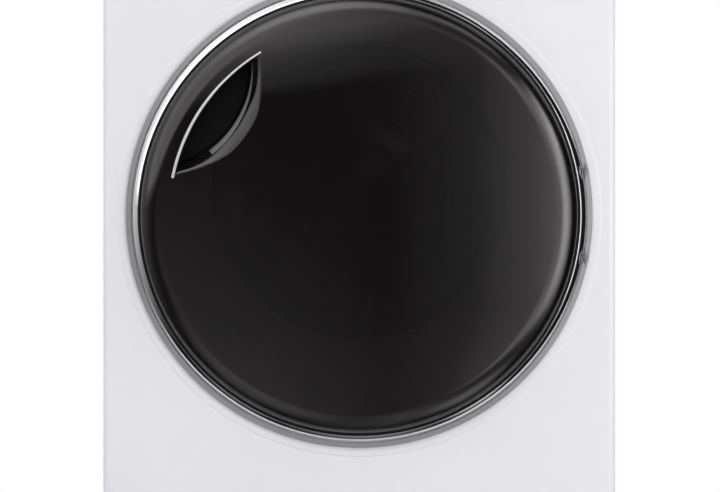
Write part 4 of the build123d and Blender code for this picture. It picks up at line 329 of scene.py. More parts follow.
# Door skin: the dome turned round the door's axis, with the handle's pocket sunk into it. The dome falls
# by its drop out to its reach, and rolls over the shoulder there
DOME_TOP = 0.045
DOME_REACH = 0.229
DOME_DROP = 0.008
DOME_RADIUS = (DOME_REACH**2 + DOME_DROP**2) / (2 * DOME_DROP)
DOME_SLOPE = asin(DOME_REACH / DOME_RADIUS)
SHOULDER = 0.028
SHOULDER_R = DOME_REACH - SHOULDER * sin(DOME_SLOPE)
SHOULDER_P = DOME_TOP - DOME_DROP - SHOULDER * cos(DOME_SLOPE)
SHOULDER_END = radians(79.7)
SHOULDER_STEPS = 30
FINE_TURNS, COARSE_TURNS = 150, 210
RIM = (0.2565, 0.010)
SKIN = 0.0026
# The pocket lies between the circle at its outer radius and an inner arc, in a rounded lip
POCKET_ANGLE = radians(145)
POCKET_HALF = radians(20.2)
POCKET_OUT = 0.2162
POCKET_IN = 0.1768
LIP = 0.019
LIP_DROP = 0.0115
LIP_SHARE = 0.35
POCKET_DROP = 0.021
WALL_WIDTH = 0.007
FLOOR_START = 0.004


def circle_through(a, b, c):
    """Centre and radius of the circle through three points of a plane."""
    (ax, ay), (bx, by), (cx, cy) = a, b, c
    d = 2 * (ax * (by - cy) + bx * (cy - ay) + cx * (ay - by))
    x = ((ax**2 + ay**2) * (by - cy) + (bx**2 + by**2) * (cy - ay) + (cx**2 + cy**2) * (ay - by)) / d
    y = ((ax**2 + ay**2) * (cx - bx) + (bx**2 + by**2) * (ax - cx) + (cx**2 + cy**2) * (bx - ax)) / d
    return (x, y), sqrt((ax - x) ** 2 + (ay - y) ** 2)


pocket_ends = [
    (POCKET_OUT * cos(POCKET_ANGLE + turn), POCKET_OUT * sin(POCKET_ANGLE + turn))
    for turn in (-POCKET_HALF, POCKET_HALF)
]
lens_centre, lens_radius = circle_through(
    pocket_ends[0], (POCKET_IN * cos(POCKET_ANGLE), POCKET_IN * sin(POCKET_ANGLE)), pocket_ends[1]
)


def dome_proud(radius):
    return DOME_TOP - DOME_RADIUS + sqrt(DOME_RADIUS**2 - radius**2)


def smooth(amount):
    amount = min(1, max(0, amount))
    return amount * amount * (3 - 2 * amount)


def inside_lens(radius, angle):
    """How far a place lies inside the pocket's inner arc, negative outside it."""
    across = radius * cos(angle) - lens_centre[0]
    up = radius * sin(angle) - lens_centre[1]
    return lens_radius - sqrt(across**2 + up**2)


def pocket_sink(radius, angle):
    """How far the skin is sunk at a place: a rounded lip, then a steep wall down to the floor."""
    if radius > POCKET_OUT:
        return 0.0
    inside = inside_lens(radius, angle)
    along = abs(angle - POCKET_ANGLE) / POCKET_HALF
    lip = LIP * (LIP_SHARE + (1 - LIP_SHARE) * smooth(1.35 - along))
    if inside < -lip:
        return 0.0
    ends = smooth((1.25 - along) / 0.2)
    if inside < 0:
        return LIP_DROP * (1 + inside / lip) ** 1.7 * ends
    deeper = (POCKET_DROP - LIP_DROP) * smooth(0.2 + inside / WALL_WIDTH)
    return (LIP_DROP + deeper) * ends


def skin_profile():
    """Radius and height of each ring from the pole to the rim, close together at the pocket."""
    radii = [0.012 * n for n in range(1, 12)] + [0.140 + 0.0012 * n for n in range(64)]
    radii += [POCKET_OUT - 0.00008, POCKET_OUT + 0.00001, 0.2166, 0.2195, 0.2235, 0.2265, DOME_REACH]
    rows = [(radius, dome_proud(radius)) for radius in radii]
    for n in range(1, SHOULDER_STEPS + 1):
        turn = DOME_SLOPE + (SHOULDER_END - DOME_SLOPE) * n / SHOULDER_STEPS
        rows.append((SHOULDER_R + SHOULDER * sin(turn), SHOULDER_P + SHOULDER * cos(turn)))
    rows.append(RIM)
    return rows


def angles_round():
    """Angles once round the door, close together at the pocket."""
    low, high = POCKET_ANGLE - POCKET_HALF * 1.4, POCKET_ANGLE + POCKET_HALF * 1.4
    fine = [low + (high - low) * n / FINE_TURNS for n in range(FINE_TURNS)]
    rest = 2 * pi - (high - low)
    return fine + [high + rest * n / COARSE_TURNS for n in range(COARSE_TURNS)]


made = bmesh.new()
pole = made.verts.new((0, FRONT - DOME_TOP, DOOR_Z))
rings = []
turns = angles_round()
for radius, proud in skin_profile():
    ring = []
    for angle in turns:
        sunk = pocket_sink(radius, angle)
        ring.append(made.verts.new((radius * cos(angle), FRONT - proud + sunk, DOOR_Z + radius * sin(angle))))
    rings.append(ring)
for n in range(len(turns)):
    made.faces.new((pole, rings[0][(n + 1) % len(turns)], rings[0][n]))
join_rings(made, rings)
door_skin = mesh_object("door_skin", made, finishes["black_panel"], smooth=True)
thick = door_skin.modifiers.new("thickness", "SOLIDIFY")
thick.thickness = SKIN
thick.offset = -1
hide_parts("door_outer_panel", "handle_cup")
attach(door_skin, "door")
door_skin.data.materials.append(finishes["pocket_black"])


def in_pocket(point):
    """Whether a point of the skin lies on the pocket's floor."""
    x, z = point[0], point[2] - DOOR_Z
    radius, angle = sqrt(x**2 + z**2), atan2(z, x)
    near = radius < POCKET_OUT and abs(angle - POCKET_ANGLE) < POCKET_HALF * 1.1
    return near and inside_lens(radius, angle) > FLOOR_START


for polygon in door_skin.data.polygons:
    if in_pocket(polygon.center):
        polygon.material_index = 1
door_skin.data.set_sharp_from_angle(angle=radians(50))


def over_skin(radius, angle, lift):
    """A point just ahead of the skin."""
    proud = dome_proud(radius) - pocket_sink(radius, angle) + lift
    return (radius * cos(angle), FRONT - proud, DOOR_Z + radius * sin(angle))


def strip_on_skin(name, rows, lift, depth, material):
    """A thin strip that lies on the skin. Each row gives places across it as (radius, angle)."""
    made = bmesh.new()
    faces_of = []
    for height in (lift, -depth):
        faces_of.append([[made.verts.new(over_skin(r, a, height)) for r, a in row] for row in rows])
    top, bottom = faces_of
    across = len(rows[0])
    for n in range(len(rows) - 1):
        for m in range(across - 1):
            made.faces.new((top[n][m], top[n][m + 1], top[n + 1][m + 1], top[n + 1][m]))
            made.faces.new((bottom[n][m], bottom[n + 1][m], bottom[n + 1][m + 1], bottom[n][m + 1]))
        for m in (0, across - 1):
            made.faces.new((top[n][m], top[n + 1][m], bottom[n + 1][m], bottom[n][m]))
    for n in (0, len(rows) - 1):
        for m in range(across - 1):
            made.faces.new((top[n][m], bottom[n][m], bottom[n][m + 1], top[n][m + 1]))
    obj = mesh_object(name, made, material, smooth=True)
    obj.data.set_sharp_from_angle(angle=radians(40))
    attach(obj, "door")
    return obj


# Silver trim along the pocket's outer edge, thinner towards its upper end
ARC_START, ARC_SWEEP, ARC_STEPS = 121.2, 47.8, 72
ARC_THIN, ARC_GROWTH = 0.0020, 0.0011
rows = []
for n in range(ARC_STEPS + 1):
    along = n / ARC_STEPS
    angle = radians(ARC_START + ARC_SWEEP * along)
    width = ARC_THIN + ARC_GROWTH * smooth(along * 1.6)
    rows.append([(POCKET_OUT + 0.00005 + width * m / 4, angle) for m in range(5)])
handle_arc = strip_on_skin("handle_arc", rows, 0.0009, 0.0006, finishes["silver_trim"])
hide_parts("handle_trim")

# Light grey strip on the lip's inner edge, wider downwards, with a square end: a painted highlight where the
# edge catches the light
STREAK_END_R, STREAK_END_ANGLE, STREAK_STEPS = 0.1845, radians(157.4), 60
STREAK_THIN, STREAK_GROWTH = 0.0009, 0.0056
rows = []
low_turn = atan2(pocket_ends[0][1] - lens_centre[1], pocket_ends[0][0] - lens_centre[0])
high_turn = atan2(
    STREAK_END_R * sin(STREAK_END_ANGLE) - lens_centre[1],
    STREAK_END_R * cos(STREAK_END_ANGLE) - lens_centre[0],
)
for n in range(STREAK_STEPS + 1):
    along = n / STREAK_STEPS
    turn = low_turn + (high_turn - low_turn) * (0.04 + 0.96 * along)
    width = STREAK_THIN + STREAK_GROWTH * along**0.8
    row = []
    for m in range(7):
        reach = lens_radius - 0.0006 + width * m / 6
        x, z = lens_centre[0] + reach * cos(turn), lens_centre[1] + reach * sin(turn)
        row.append((sqrt(x**2 + z**2), atan2(z, x)))
    rows.append(row)
strip_on_skin("lip_painted_highlight", rows, 0.00025, 0.0004, finishes["insert_grey"])


DOOR_SEGMENTS = 256


def lathed(name, section, material):
    """A closed section of (radius, proud) points turned about the door's axis."""
    made = bmesh.new()
    rings = []
    for radius, proud in section:
        ring = []
        for n in range(DOOR_SEGMENTS):
            turn = 2 * pi * n / DOOR_SEGMENTS
            ring.append(made.verts.new((radius * cos(turn), FRONT - proud, DOOR_Z + radius * sin(turn))))
        rings.append(ring)
    join_rings(made, rings + rings[:1])
    obj = mesh_object(name, made, material, smooth=True)
    obj.data.set_sharp_from_angle(angle=radians(32))
    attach(obj, "door")
    return obj


# Chrome bead round the door, and a matt black ring between it and the panel: painted shade that keeps the
# panel's rim dark
BEAD_IN, BEAD_OUT = (0.2560, 0.0136), (0.2618, 0.0086)
BEAD_EDGE = 0.0002
BEAD_BACK = (
    (0.2622, 0.0080), (0.2622, 0.0023), (0.2611, 0.0023), (0.2609, 0.0056), (0.2573, 0.0088),
    (0.2563, 0.0088),
)
RIM_SHADE_RING = (
    (0.2525, 0.0210), (0.2531, 0.0211), (0.2549, 0.0150), (0.2560, 0.0134), (0.2564, 0.0131),
    (0.2564, 0.0102), (0.2552, 0.0112), (0.2524, 0.0200),
)
tilt = atan2(BEAD_IN[1] - BEAD_OUT[1], BEAD_OUT[0] - BEAD_IN[0])
bead = [(0.2562, 0.0102)]
for n in range(9):
    turn = -pi / 2 + (pi / 2 + tilt) * n / 8
    across = BEAD_EDGE * (sin(turn) - sin(tilt))
    up = BEAD_EDGE * (cos(turn) - cos(tilt))
    bead.append((BEAD_IN[0] + across, BEAD_IN[1] + up))
bead += [BEAD_OUT, *BEAD_BACK]
chrome_bead = lathed("chrome_bead", bead, finishes["chrome"])
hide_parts("door_trim_ring")
rim_shade_ring = lathed("panel_rim_shade_ring", RIM_SHADE_RING, finishes["rim_shade_black"])


# Grey caps that close the bezel's two notches outside the hinge knuckles, sloped like the bezel
BEZEL_IN, BEZEL_OUT = 0.2643, 0.2703
BEZEL_IN_PROUD, BEZEL_OUT_PROUD = 0.0078, 0.0066
CAP_INNER, CAP_HALF, CAP_BACK = 0.26495, 0.0043, 0.0015
KNUCKLE_RISE = 0.05


def bezel_proud(x, z):
    outward = (sqrt(x**2 + (z - DOOR_Z) ** 2) - BEZEL_IN) / (BEZEL_OUT - BEZEL_IN)
    return BEZEL_IN_PROUD + (BEZEL_OUT_PROUD - BEZEL_IN_PROUD) * outward


for name, place in (("upper_hinge_cap", DOOR_Z + KNUCKLE_RISE), ("lower_hinge_cap", DOOR_Z - KNUCKLE_RISE)):
    made = bmesh.new()
    outline = [(CAP_INNER, place - CAP_HALF)]
    for n in range(7):
        z = place + CAP_HALF * (n / 3 - 1)
        outline.append((sqrt(BEZEL_OUT**2 - (z - DOOR_Z) ** 2), z))
    outline.append((CAP_INNER, place + CAP_HALF))
    front = [made.verts.new((x, FRONT - bezel_proud(x, z), z)) for x, z in outline]
    back = [made.verts.new((x, FRONT - CAP_BACK, z)) for x, z in outline]
    made.faces.new(front)
    made.faces.new(list(reversed(back)))
    join_rings(made, [front, back])
    cap = mesh_object(name, made, finishes["bezel_grey"])
    edge = cap.modifiers.new("edge", "BEVEL")
    edge.width = 0.0003
    edge.segments = 2
    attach(cap, "cabinet")


# Drum back: a spun steel disc with pressed grooves and a field of small air holes
DISC_DEPTH = 0.537
DISC = (
    (0.0, 0.5310), (0.0200, 0.5310), (0.0230, 0.5298), (0.0260, 0.5298), (0.0290, 0.5310), (0.0440, 0.5310),
    (0.0465, 0.5316), (0.0560, 0.5364), (0.0590, DISC_DEPTH), (0.0640, DISC_DEPTH), (0.0665, 0.5358),
    (0.0695, 0.5358), (0.0720, DISC_DEPTH), (0.0900, DISC_DEPTH),
)
DISC_RIM = (
    (0.2050, DISC_DEPTH), (0.2080, 0.5358), (0.2120, 0.5358), (0.2150, DISC_DEPTH), (0.2430, DISC_DEPTH),
    (0.2510, 0.5450), (0.2789, 0.5450),
)
HOLES_INNER, HOLES_OUTER, HOLE_RINGS, HOLES_ROUND = 0.090, 0.200, 10, 84
HOLE_RADIUS = 0.0026


def disc_point(made, radius, angle, depth=DISC_DEPTH):
    return made.verts.new((radius * cos(angle), FRONT + depth, DRUM_Z + radius * sin(angle)))


def plain_rings(made, profile, count):
    """Rings of faces through (radius, depth) points round the drum's axis."""
    rings = []
    for radius, depth in profile:
        rings.append([disc_point(made, radius, 2 * pi * n / count, depth) for n in range(count)])
    join_rings(made, rings)


def punched_cell(made, low, high, middle, half):
    """A cell of the sheet with a round hole, from low to high and half to each side of its middle."""
    centre = (low + high) / 2
    left, right = middle - half, middle + half
    corners = [
        (low, left), (low, middle), (low, right), (centre, right),
        (high, right), (high, middle), (high, left), (centre, left),
    ]
    outer = [disc_point(made, radius, angle) for radius, angle in corners]
    inner = []
    for radius, angle in corners:
        across, along = radius - centre, (angle - middle) * centre
        share = HOLE_RADIUS / sqrt(across**2 + along**2)
        inner.append(disc_point(made, centre + share * across, middle + share * along / centre))
    join_rings(made, [outer, inner])


made = bmesh.new()
count = 2 * HOLES_ROUND
plain_rings(made, DISC, count)
plain_rings(made, ((HOLES_OUTER, DISC_DEPTH), *DISC_RIM), count)
step = (HOLES_OUTER - HOLES_INNER) / HOLE_RINGS
for ring in range(HOLE_RINGS):
    low = HOLES_INNER + ring * step
    for n in range(HOLES_ROUND):
        punched_cell(made, low, low + step, 2 * pi * (n + 0.5) / HOLES_ROUND, pi / HOLES_ROUND)
bmesh.ops.remove_doubles(made, verts=made.verts, dist=0.00002)
drum_disc = mesh_object("drum_back_disc", made, finishes["spun_steel"], smooth=True)
drum_disc.data.set_sharp_from_angle(angle=radians(50))
sheet_metal = drum_disc.modifiers.new("sheet", "SOLIDIFY")
sheet_metal.thickness = 0.0008
sheet_metal.offset = 0
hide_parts("drum_back")
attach(drum_disc, "drum")


# Moisture sensors: two steel strips low inside the loading tube, clear of the lint filter
SENSOR_HALF = 11
SENSOR_SECTION = ((0.1801, 0.050), (0.1786, 0.052), (0.1786, 0.068), (0.1801, 0.070))
for name, angle in (("left_moisture_sensor", 236), ("right_moisture_sensor", 304)):
    made = bmesh.new()
    rings = []
    for n in range(13):
        turn = radians(angle + SENSOR_HALF * (n / 6 - 1))
        ring = []
        for radius, depth in SENSOR_SECTION:
            place = (radius * cos(turn), FRONT + depth, OPENING_Z + radius * sin(turn))
            ring.append(made.verts.new(place))
        rings.append(ring)
    join_rings(made, rings)
    made.faces.new(rings[0])
    made.faces.new(list(reversed(rings[-1])))
    sensor = mesh_object(name, made, finishes["stainless"])
    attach(sensor, "cabinet")


# Plain marks on the fascia: twelve ticks with numbers round the dial
DIAL_X, DIAL_Z = -0.004, 0.773
TICK_START, TICK_END, TICK_WIDTH = 0.0315, 0.0352, 0.0006
NUMBER_REACH, NUMBER_HEIGHT = 0.0405, 0.0046
PRINT = 0.0001


def block(made, centre, size, turn):
    """A small box, turned about a level axis from front to back."""
    added = bmesh.ops.create_cube(made, size=1.0)["verts"]
    bmesh.ops.scale(made, vec=size, verts=added)
    bmesh.ops.rotate(made, cent=(0, 0, 0), matrix=Matrix.Rotation(turn, 3, "Y"), verts=added)
    bmesh.ops.translate(made, vec=centre, verts=added)


made = bmesh.new()
for n in range(12):
    clock = radians(90 - 30 * n)
    reach = (TICK_START + TICK_END) / 2
    place = (DIAL_X + reach * cos(clock), FRONT - 0.00005, DIAL_Z + reach * sin(clock))
    block(made, place, (TICK_END - TICK_START, 0.0003, TICK_WIDTH), -clock)
ticks = mesh_object("dial_ticks", made, finishes["grey_plastic"])
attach(ticks, "cabinet")


def figure(text, x, z):
    """A printed number as a thin mesh, in Blender's own font."""
    curve = bpy.data.curves.new("number_" + text, "FONT")
    curve.body = text
    curve.size = NUMBER_HEIGHT
    curve.align_x = "CENTER"
    curve.align_y = "CENTER"
    curve.extrude = PRINT
    letter = bpy.data.objects.new("number_" + text, curve)
    scene.collection.objects.link(letter)
    bpy.context.view_layer.update()
    solid = bpy.data.meshes.new_from_object(letter.evaluated_get(bpy.context.evaluated_depsgraph_get()))
    bpy.data.objects.remove(letter)
    solid.transform(Matrix.Translation((x, FRONT - PRINT, z)) @ Matrix.Rotation(pi / 2, 4, "X"))
    obj = bpy.data.objects.new("dial_number_" + text, solid)
    scene.collection.objects.link(obj)
    repaint(obj, finishes["grey_plastic"])
    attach(obj, "cabinet")


for n in range(12):
    clock = radians(90 - 30 * n)
    figure(str(n or 12), DIAL_X + NUMBER_REACH * cos(clock), DIAL_Z + NUMBER_REACH * sin(clock))


# Screws: a domed head, each step as a share of its radius, how far it is drawn in to a cross, and its rise
SCREW_R = 0.0042
SCREW_SIDES = 48
SCREW_STEPS = (
    (1.0, 0, 0.0), (1.0, 0, 0.0007), (0.88, 0, 0.0014), (0.68, 0, 0.0018), (0.62, 0.62, 0.0019),
    (0.5, 0.62, 0.0005),
)
SIDE_SCREW_X, TOP_SCREW_X, TOP_SCREW_Z = 0.2885, 0.2, 0.815


def screw(name, x, z, y):
    """A screw head at (x, z) with a cross recess, standing back from the plane at y."""
    made = bmesh.new()
    rings = []
    for reach, cross, rise in SCREW_STEPS:
        ring = []
        for n in range(SCREW_SIDES):
            turn = 2 * pi * n / SCREW_SIDES
            across = SCREW_R * reach * (1 - cross * sin(2 * turn) ** 2)
            ring.append(made.verts.new((x + across * cos(turn), y + rise, z + across * sin(turn))))
        rings.append(ring)
    join_rings(made, rings)
    made.faces.new(rings[0])
    made.faces.new(rings[-1])
    head = mesh_object(name, made, finishes["screw_zinc"])
    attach(head, "cabinet")


for side, x in (("left", -SIDE_SCREW_X), ("right", SIDE_SCREW_X)):
    for n, z in enumerate((0.08, 0.31, 0.56, 0.79)):
        screw("%s_rear_screw_%d" % (side, n + 1), x, z, REAR)
for side, x in (("left", -TOP_SCREW_X), ("middle", 0.0), ("right", TOP_SCREW_X)):
    screw("%s_top_screw" % side, x, TOP_SCREW_Z, REAR)


# Rear duct cover: one pressed sheet, its leg led tangentially into its round
COVER_ROUND, COVER_LEG, COVER_CORNER = 0.214, 0.092, 0.024
LEG_X, LEG_BOTTOM = -0.150, 0.026
LEAN = radians(165)
ROUND_STEPS = 96
FLANGE, SHEET = 0.012, 0.001
COVER_STEPS = (
    (FLANGE, 0.2860), (0.0030, 0.2860), (0.0009, 0.2869), (0.0, 0.2890), (0.0, 0.3155), (-0.0010, 0.3180),
    (-0.0085, 0.3265), (-0.0115, 0.3275),
)


def cover_line(grow):
    """The cover's outline, grown outwards, from its inner corner round the disc and down the leg."""
    reach, corner = COVER_ROUND + grow, COVER_CORNER + grow
    left, right, low = LEG_X - COVER_LEG - grow, LEG_X + COVER_LEG + grow, LEG_BOTTOM - grow
    start = -acos(right / reach)
    points = []
    for n in range(ROUND_STEPS + 1):
        turn = start + (LEAN - start) * n / ROUND_STEPS
        points.append((reach * cos(turn), DRUM_Z + reach * sin(turn)))
    fall = (reach * cos(LEAN) - left) / sin(LEAN)
    points.append((left, DRUM_Z + reach * sin(LEAN) + fall * cos(LEAN)))
    for x, first in ((left + corner, pi), (right - corner, 1.5 * pi)):
        for n in range(9):
            turn = first + pi / 2 * n / 8
            points.append((x + corner * cos(turn), low + corner + corner * sin(turn)))
    return points


made = bmesh.new()
rings = [[made.verts.new((x, y, z)) for x, z in cover_line(grow)] for grow, y in COVER_STEPS]
join_rings(made, rings)
made.faces.new(rings[-1])
cover = mesh_object("rear_cover_pressing", made, finishes["zinc_steel"], smooth=True)
cover.data.set_sharp_from_angle(angle=radians(35))
sheet_metal = cover.modifiers.new("sheet", "SOLIDIFY")
sheet_metal.thickness = SHEET
sheet_metal.offset = -1
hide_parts("rear_duct_cover")
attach(cover, "cabinet")

# Its screws stand in the middle of the flange, round the disc and down both sides of the leg
places = cover_line(FLANGE / 2)[6 : ROUND_STEPS + 1 : 14]
places += [(LEG_X - COVER_LEG - FLANGE / 2, z) for z in (0.36, 0.21, 0.07)]
places += [(LEG_X + COVER_LEG + FLANGE / 2, z) for z in (0.21, 0.07)]
for n, (x, z) in enumerate(places):
    screw("cover_screw_%d" % (n + 1), x, z, REAR + SHEET)


# Studio: the camera, where the photograph was taken from, and as wide as its frame
CAMERA_AWAY = 3.0
CAMERA_X, CAMERA_Z = 0.0009, 0.3956
PHOTO_WIDTH, PHOTO_GAP = 0.8374, 3.008
camera_data = bpy.data.cameras.new("main_camera")
camera_data.sensor_fit = "HORIZONTAL"
camera_data.sensor_width = 36
camera_data.lens = 36 * PHOTO_GAP / PHOTO_WIDTH
camera = bpy.data.objects.new("main_camera", camera_data)
camera.location = (CAMERA_X, FRONT - CAMERA_AWAY, CAMERA_Z)
camera.rotation_euler = (pi / 2, 0, 0)
scene.collection.objects.link(camera)
scene.camera = camera


# White backdrop, and a pale floor that fades into it
def seen_directly(tree):
    """1 for rays that should meet the white backdrop: camera, glossy and transmission."""
    paths = tree.nodes.new("ShaderNodeLightPath")
    total = paths.outputs["Is Camera Ray"]
    for name in ("Is Glossy Ray", "Is Transmission Ray"):
        both = tree.nodes.new("ShaderNodeMath")
        both.operation = "MAXIMUM"
        tree.links.new(total, both.inputs[0])
        tree.links.new(paths.outputs[name], both.inputs[1])
        total = both.outputs[0]
    return total


SOFT_LIGHT = 0.62
world = bpy.data.worlds.new("studio")
scene.world = world
world.use_nodes = True
tree = world.node_tree
tree.nodes.clear()
soft = tree.nodes.new("ShaderNodeBackground")
soft.inputs["Color"].default_value = (0.99, 0.99, 1.0, 1)
soft.inputs["Strength"].default_value = SOFT_LIGHT
white = tree.nodes.new("ShaderNodeBackground")
white.inputs["Color"].default_value = (1, 1, 1, 1)
white.inputs["Strength"].default_value = 1.0
choose = tree.nodes.new("ShaderNodeMixShader")
tree.links.new(seen_directly(tree), choose.inputs[0])
tree.links.new(soft.outputs[0], choose.inputs[1])
tree.links.new(white.outputs[0], choose.inputs[2])
tree.links.new(choose.outputs[0], tree.nodes.new("ShaderNodeOutputWorld").inputs[0])

FLOOR_CLEAR, FLOOR_GONE, FLOOR_SHIFT = 0.62, 1.1, 0.12
floor_finish = Shader("pale_floor")
floor_finish.coloured(floor_finish.noise(3, 3), (0.86, 0.86, 0.865), 0.01)
floor_finish.set(Roughness=0.7)
white_light = floor_finish.add("ShaderNodeEmission")
fade = floor_finish.add("ShaderNodeMapRange")
fade.interpolation_type = "SMOOTHSTEP"
fade.inputs["From Min"].default_value = FLOOR_CLEAR
fade.inputs["From Max"].default_value = FLOOR_GONE
length = floor_finish.add("ShaderNodeVectorMath", operation="LENGTH")
offset = floor_finish.add("ShaderNodeVectorMath", operation="ADD")
offset.inputs[1].default_value = (0, FLOOR_SHIFT, 0)
floor_finish.link(floor_finish.places.outputs["Object"], offset.inputs[0])
floor_finish.link(offset.outputs[0], length.inputs[0])
floor_finish.link(length.outputs["Value"], fade.inputs["Value"])
amount = floor_finish.add("ShaderNodeMath", operation="MULTIPLY")
floor_finish.link(fade.outputs["Result"], amount.inputs[0])
floor_finish.link(seen_directly(floor_finish.tree), amount.inputs[1])
mixed = floor_finish.add("ShaderNodeMixShader")
floor_finish.link(amount.outputs[0], mixed.inputs[0])
floor_finish.link(floor_finish.surface.outputs[0], mixed.inputs[1])
floor_finish.link(white_light.outputs[0], mixed.inputs[2])
floor_finish.link(mixed.outputs[0], floor_finish.output.inputs[0])
made = bmesh.new()
bmesh.ops.create_grid(made, x_segments=12, y_segments=12, size=3.0)
floor = mesh_object("floor", made, floor_finish.material)


# Soft lamps
DOOR_MIDDLE = (0, FRONT, DOOR_Z)
LOW_MIDDLE = (0.06, FRONT, 0.15)
LAMPS = (
    ("top_softbox", -4, 38, 2.3, DOOR_MIDDLE, 1.9, 0.8, 9),
    ("right_softbox", 46, -6, 2.4, DOOR_MIDDLE, 0.6, 1.5, 11),
    ("left_strip", -74, 4, 2.2, DOOR_MIDDLE, 0.2, 1.3, 6),
    ("low_fill", 24, -9, 2.6, LOW_MIDDLE, 1.2, 0.5, 19),
)


def around(turn, rise, reach):
    """A place in front of the door: turn degrees to the right of straight ahead, rise degrees up."""
    level = reach * cos(radians(rise))
    return (
        level * sin(radians(turn)),
        FRONT - level * cos(radians(turn)),
        DOOR_Z + reach * sin(radians(rise)),
    )


def lamp(name, turn, rise, reach, target, width, height, watts):
    """A soft rectangle of light that shows in no reflection."""
    data = bpy.data.lights.new(name, "AREA")
    data.shape = "RECTANGLE"
    data.size, data.size_y = width, height
    data.energy = watts
    obj = bpy.data.objects.new(name, data)
    obj.location = around(turn, rise, reach)
    obj.rotation_euler = (Vector(target) - obj.location).to_track_quat("-Z", "Y").to_euler()
    obj.visible_camera = False
    obj.visible_glossy = False
    scene.collection.objects.link(obj)


for row in LAMPS:
    lamp(*row)


# Studio shell: a dark sphere round the door that only mirror-like surfaces see. Each glow on it has
# degrees off straight ahead, clock angle, reach, strength, core and squeeze
SHELL_REACH = 3.6
SHELL_FLOOR = 0.004
DARK = 0.01
BEHIND = 0.45
WINDOW_EDGE, WINDOW_WASH = 0.04, 0.28
WINDOW_BANDS = ((0.157, 0.30, 1.2), (0.24, 0.28, 0.7))
SKY_EDGE, SKY_SOFT, SKY_LEAN = 0.1995, 0.002, -0.15
SKY_BANDS = ((0.2, 0.245, 0.18, 0.52), (0.245, 0.275, 0.0, 0.85))
GLOWS = (
    (50, 3, 27, 4.6, 3, 1.3),
    (64, 26, 17, 3.8, 2),
    (62, 99, 27, 2.3, 6, 1.5),
    (70, 60, 16, 1.4, 2),
    (60, 236, 30, 0.8, 6),
    (32, 226, 34, 0.45, 8),
    (72, 302, 18, 1.5, 2),
    (94, 122, 24, 0.25, 12, 1.5),
    (100, 150, 58, 0.72, 8, 1.3),
    (62, 272, 34, 0.4, 10),
    (150, 140, 60, 0.3, 20),
)


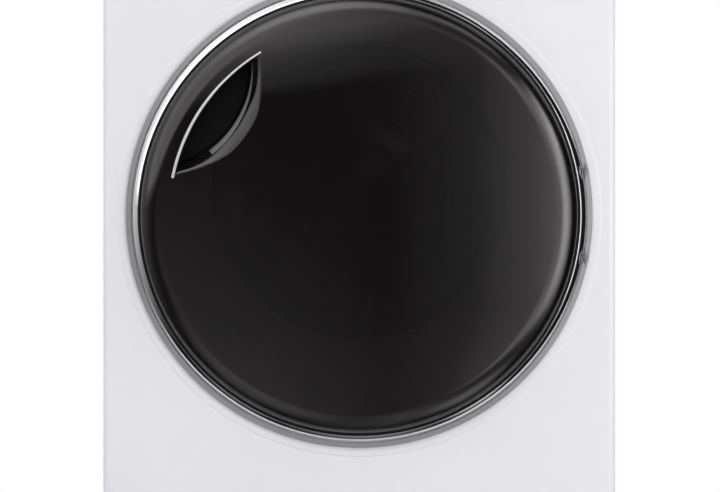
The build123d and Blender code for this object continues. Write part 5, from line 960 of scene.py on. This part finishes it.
class ShellShader(Shader):
    """Light that depends only on the direction from the door, summed up from its sources."""

    def __init__(self, name):
        super().__init__(name)
        direction = self.add("ShaderNodeVectorMath", operation="NORMALIZE")
        self.link(self.places.outputs["Object"], direction.inputs[0])
        self.direction = direction.outputs[0]
        parts = self.add("ShaderNodeSeparateXYZ")
        self.link(self.direction, parts.inputs[0])
        self.right, self.up = parts.outputs["X"], parts.outputs["Z"]
        self.ahead = self.math("MULTIPLY", parts.outputs["Y"], -1)
        start = self.add("ShaderNodeValue")
        start.outputs[0].default_value = DARK
        self.total = start.outputs[0]

    def math(self, operation, *terms):
        """One arithmetic node on links and plain numbers."""
        node = self.add("ShaderNodeMath", operation=operation)
        for term, socket in zip(terms, node.inputs):
            if isinstance(term, (int, float)):
                socket.default_value = term
            else:
                self.link(term, socket)
        return node.outputs[0]

    def ramped(self, value, low, high, start, end, kind="LINEAR"):
        """The value taken from low..high to start..end, and held there beyond."""
        node = self.add("ShaderNodeMapRange")
        node.interpolation_type = kind
        node.inputs["From Min"].default_value = low
        node.inputs["From Max"].default_value = high
        node.inputs["To Min"].default_value = start
        node.inputs["To Max"].default_value = end
        self.link(value, node.inputs["Value"])
        return node.outputs["Result"]

    def add_light(self, *factors):
        """The product of the factors, added to the light."""
        amount = factors[0]
        for factor in factors[1:]:
            amount = self.math("MULTIPLY", amount, factor)
        self.total = self.math("ADD", self.total, amount)

    def glow(self, off, clock, reach, strength, core=0.0, squeeze=1.0):
        """A soft spot. Reach and core are in degrees, squeeze narrows it across its clock angle."""
        off, clock = radians(off), radians(clock)
        across = Vector((-sin(clock), 0, cos(clock)))
        apart = self.add("ShaderNodeVectorMath", operation="SUBTRACT")
        self.link(self.direction, apart.inputs[0])
        apart.inputs[1].default_value = (sin(off) * cos(clock), -cos(off), sin(off) * sin(clock))
        side = self.add("ShaderNodeVectorMath", operation="DOT_PRODUCT")
        self.link(apart.outputs[0], side.inputs[0])
        side.inputs[1].default_value = across
        slide = self.add("ShaderNodeVectorMath", operation="SCALE")
        slide.inputs[0].default_value = across * (1 / squeeze - 1)
        self.link(side.outputs["Value"], slide.inputs["Scale"])
        pressed = self.add("ShaderNodeVectorMath", operation="ADD")
        self.link(apart.outputs[0], pressed.inputs[0])
        self.link(slide.outputs[0], pressed.inputs[1])
        distance = self.add("ShaderNodeVectorMath", operation="LENGTH")
        self.link(pressed.outputs[0], distance.inputs[0])
        far, near = 2 * sin(radians(reach) / 2), 2 * sin(radians(core) / 2)
        self.add_light(self.ramped(distance.outputs["Value"], far, near, 0.0, strength, "SMOOTHSTEP"))

    def tall_window(self):
        """Brightness that grows to the right at every height: a tall window beside the dryer."""
        ahead = self.ramped(self.ahead, 0.1, 0.3, 0.0, 1.0)
        self.add_light(ahead, self.ramped(self.right, WINDOW_EDGE, 0.162, 0.0, WINDOW_WASH))
        below = self.ramped(self.up, 0.28, 0.55, 1.0, 0.0, "SMOOTHSTEP")
        above = self.ramped(self.up, -0.55, -0.28, 0.0, 1.0, "SMOOTHSTEP")
        for start, end, gain in WINDOW_BANDS:
            near = self.ramped(self.right, start, end, 0.0, gain)
            self.add_light(near, below, above, ahead)

    def skylight(self):
        """Brightness above a straight, slightly tilted edge overhead, stronger to the left."""
        lean = self.math("MULTIPLY_ADD", self.right, SKY_LEAN, self.up)
        edge = self.ramped(lean, SKY_EDGE - SKY_SOFT, SKY_EDGE + SKY_SOFT, 0.0, 1.0, "SMOOTHSTEP")
        left = self.ramped(self.right, -0.155, 0.233, 1.35, 0.0)
        ahead = self.ramped(self.ahead, -0.05, 0.25, 0.0, 1.0)
        for start, end, low, high in SKY_BANDS:
            rise = self.ramped(lean, start, end, low, high)
            self.add_light(edge, rise, left, ahead)


shell_finish = ShellShader("studio_shell")
shell_finish.add_light(shell_finish.ramped(shell_finish.ahead, -0.7, -0.3, BEHIND, 0.0, "SMOOTHSTEP"))
shell_finish.tall_window()
shell_finish.skylight()
for spot in GLOWS:
    shell_finish.glow(*spot)
shine = shell_finish.add("ShaderNodeEmission")
shine.inputs["Color"].default_value = (1.0, 0.985, 0.975, 1)
shell_finish.link(shell_finish.total, shine.inputs["Strength"])
shell_finish.link(shine.outputs[0], shell_finish.output.inputs[0])
made = bmesh.new()
bmesh.ops.create_uvsphere(made, u_segments=64, v_segments=32, radius=SHELL_REACH)
for vert in made.verts:
    vert.co.z = max(vert.co.z, SHELL_FLOOR - DOOR_Z)
shell = mesh_object("studio_shell", made, shell_finish.material)
shell.location = DOOR_MIDDLE
shell.visible_camera = False
shell.visible_diffuse = False
shell.visible_transmission = False
shell.visible_shadow = False
shell.visible_volume_scatter = False
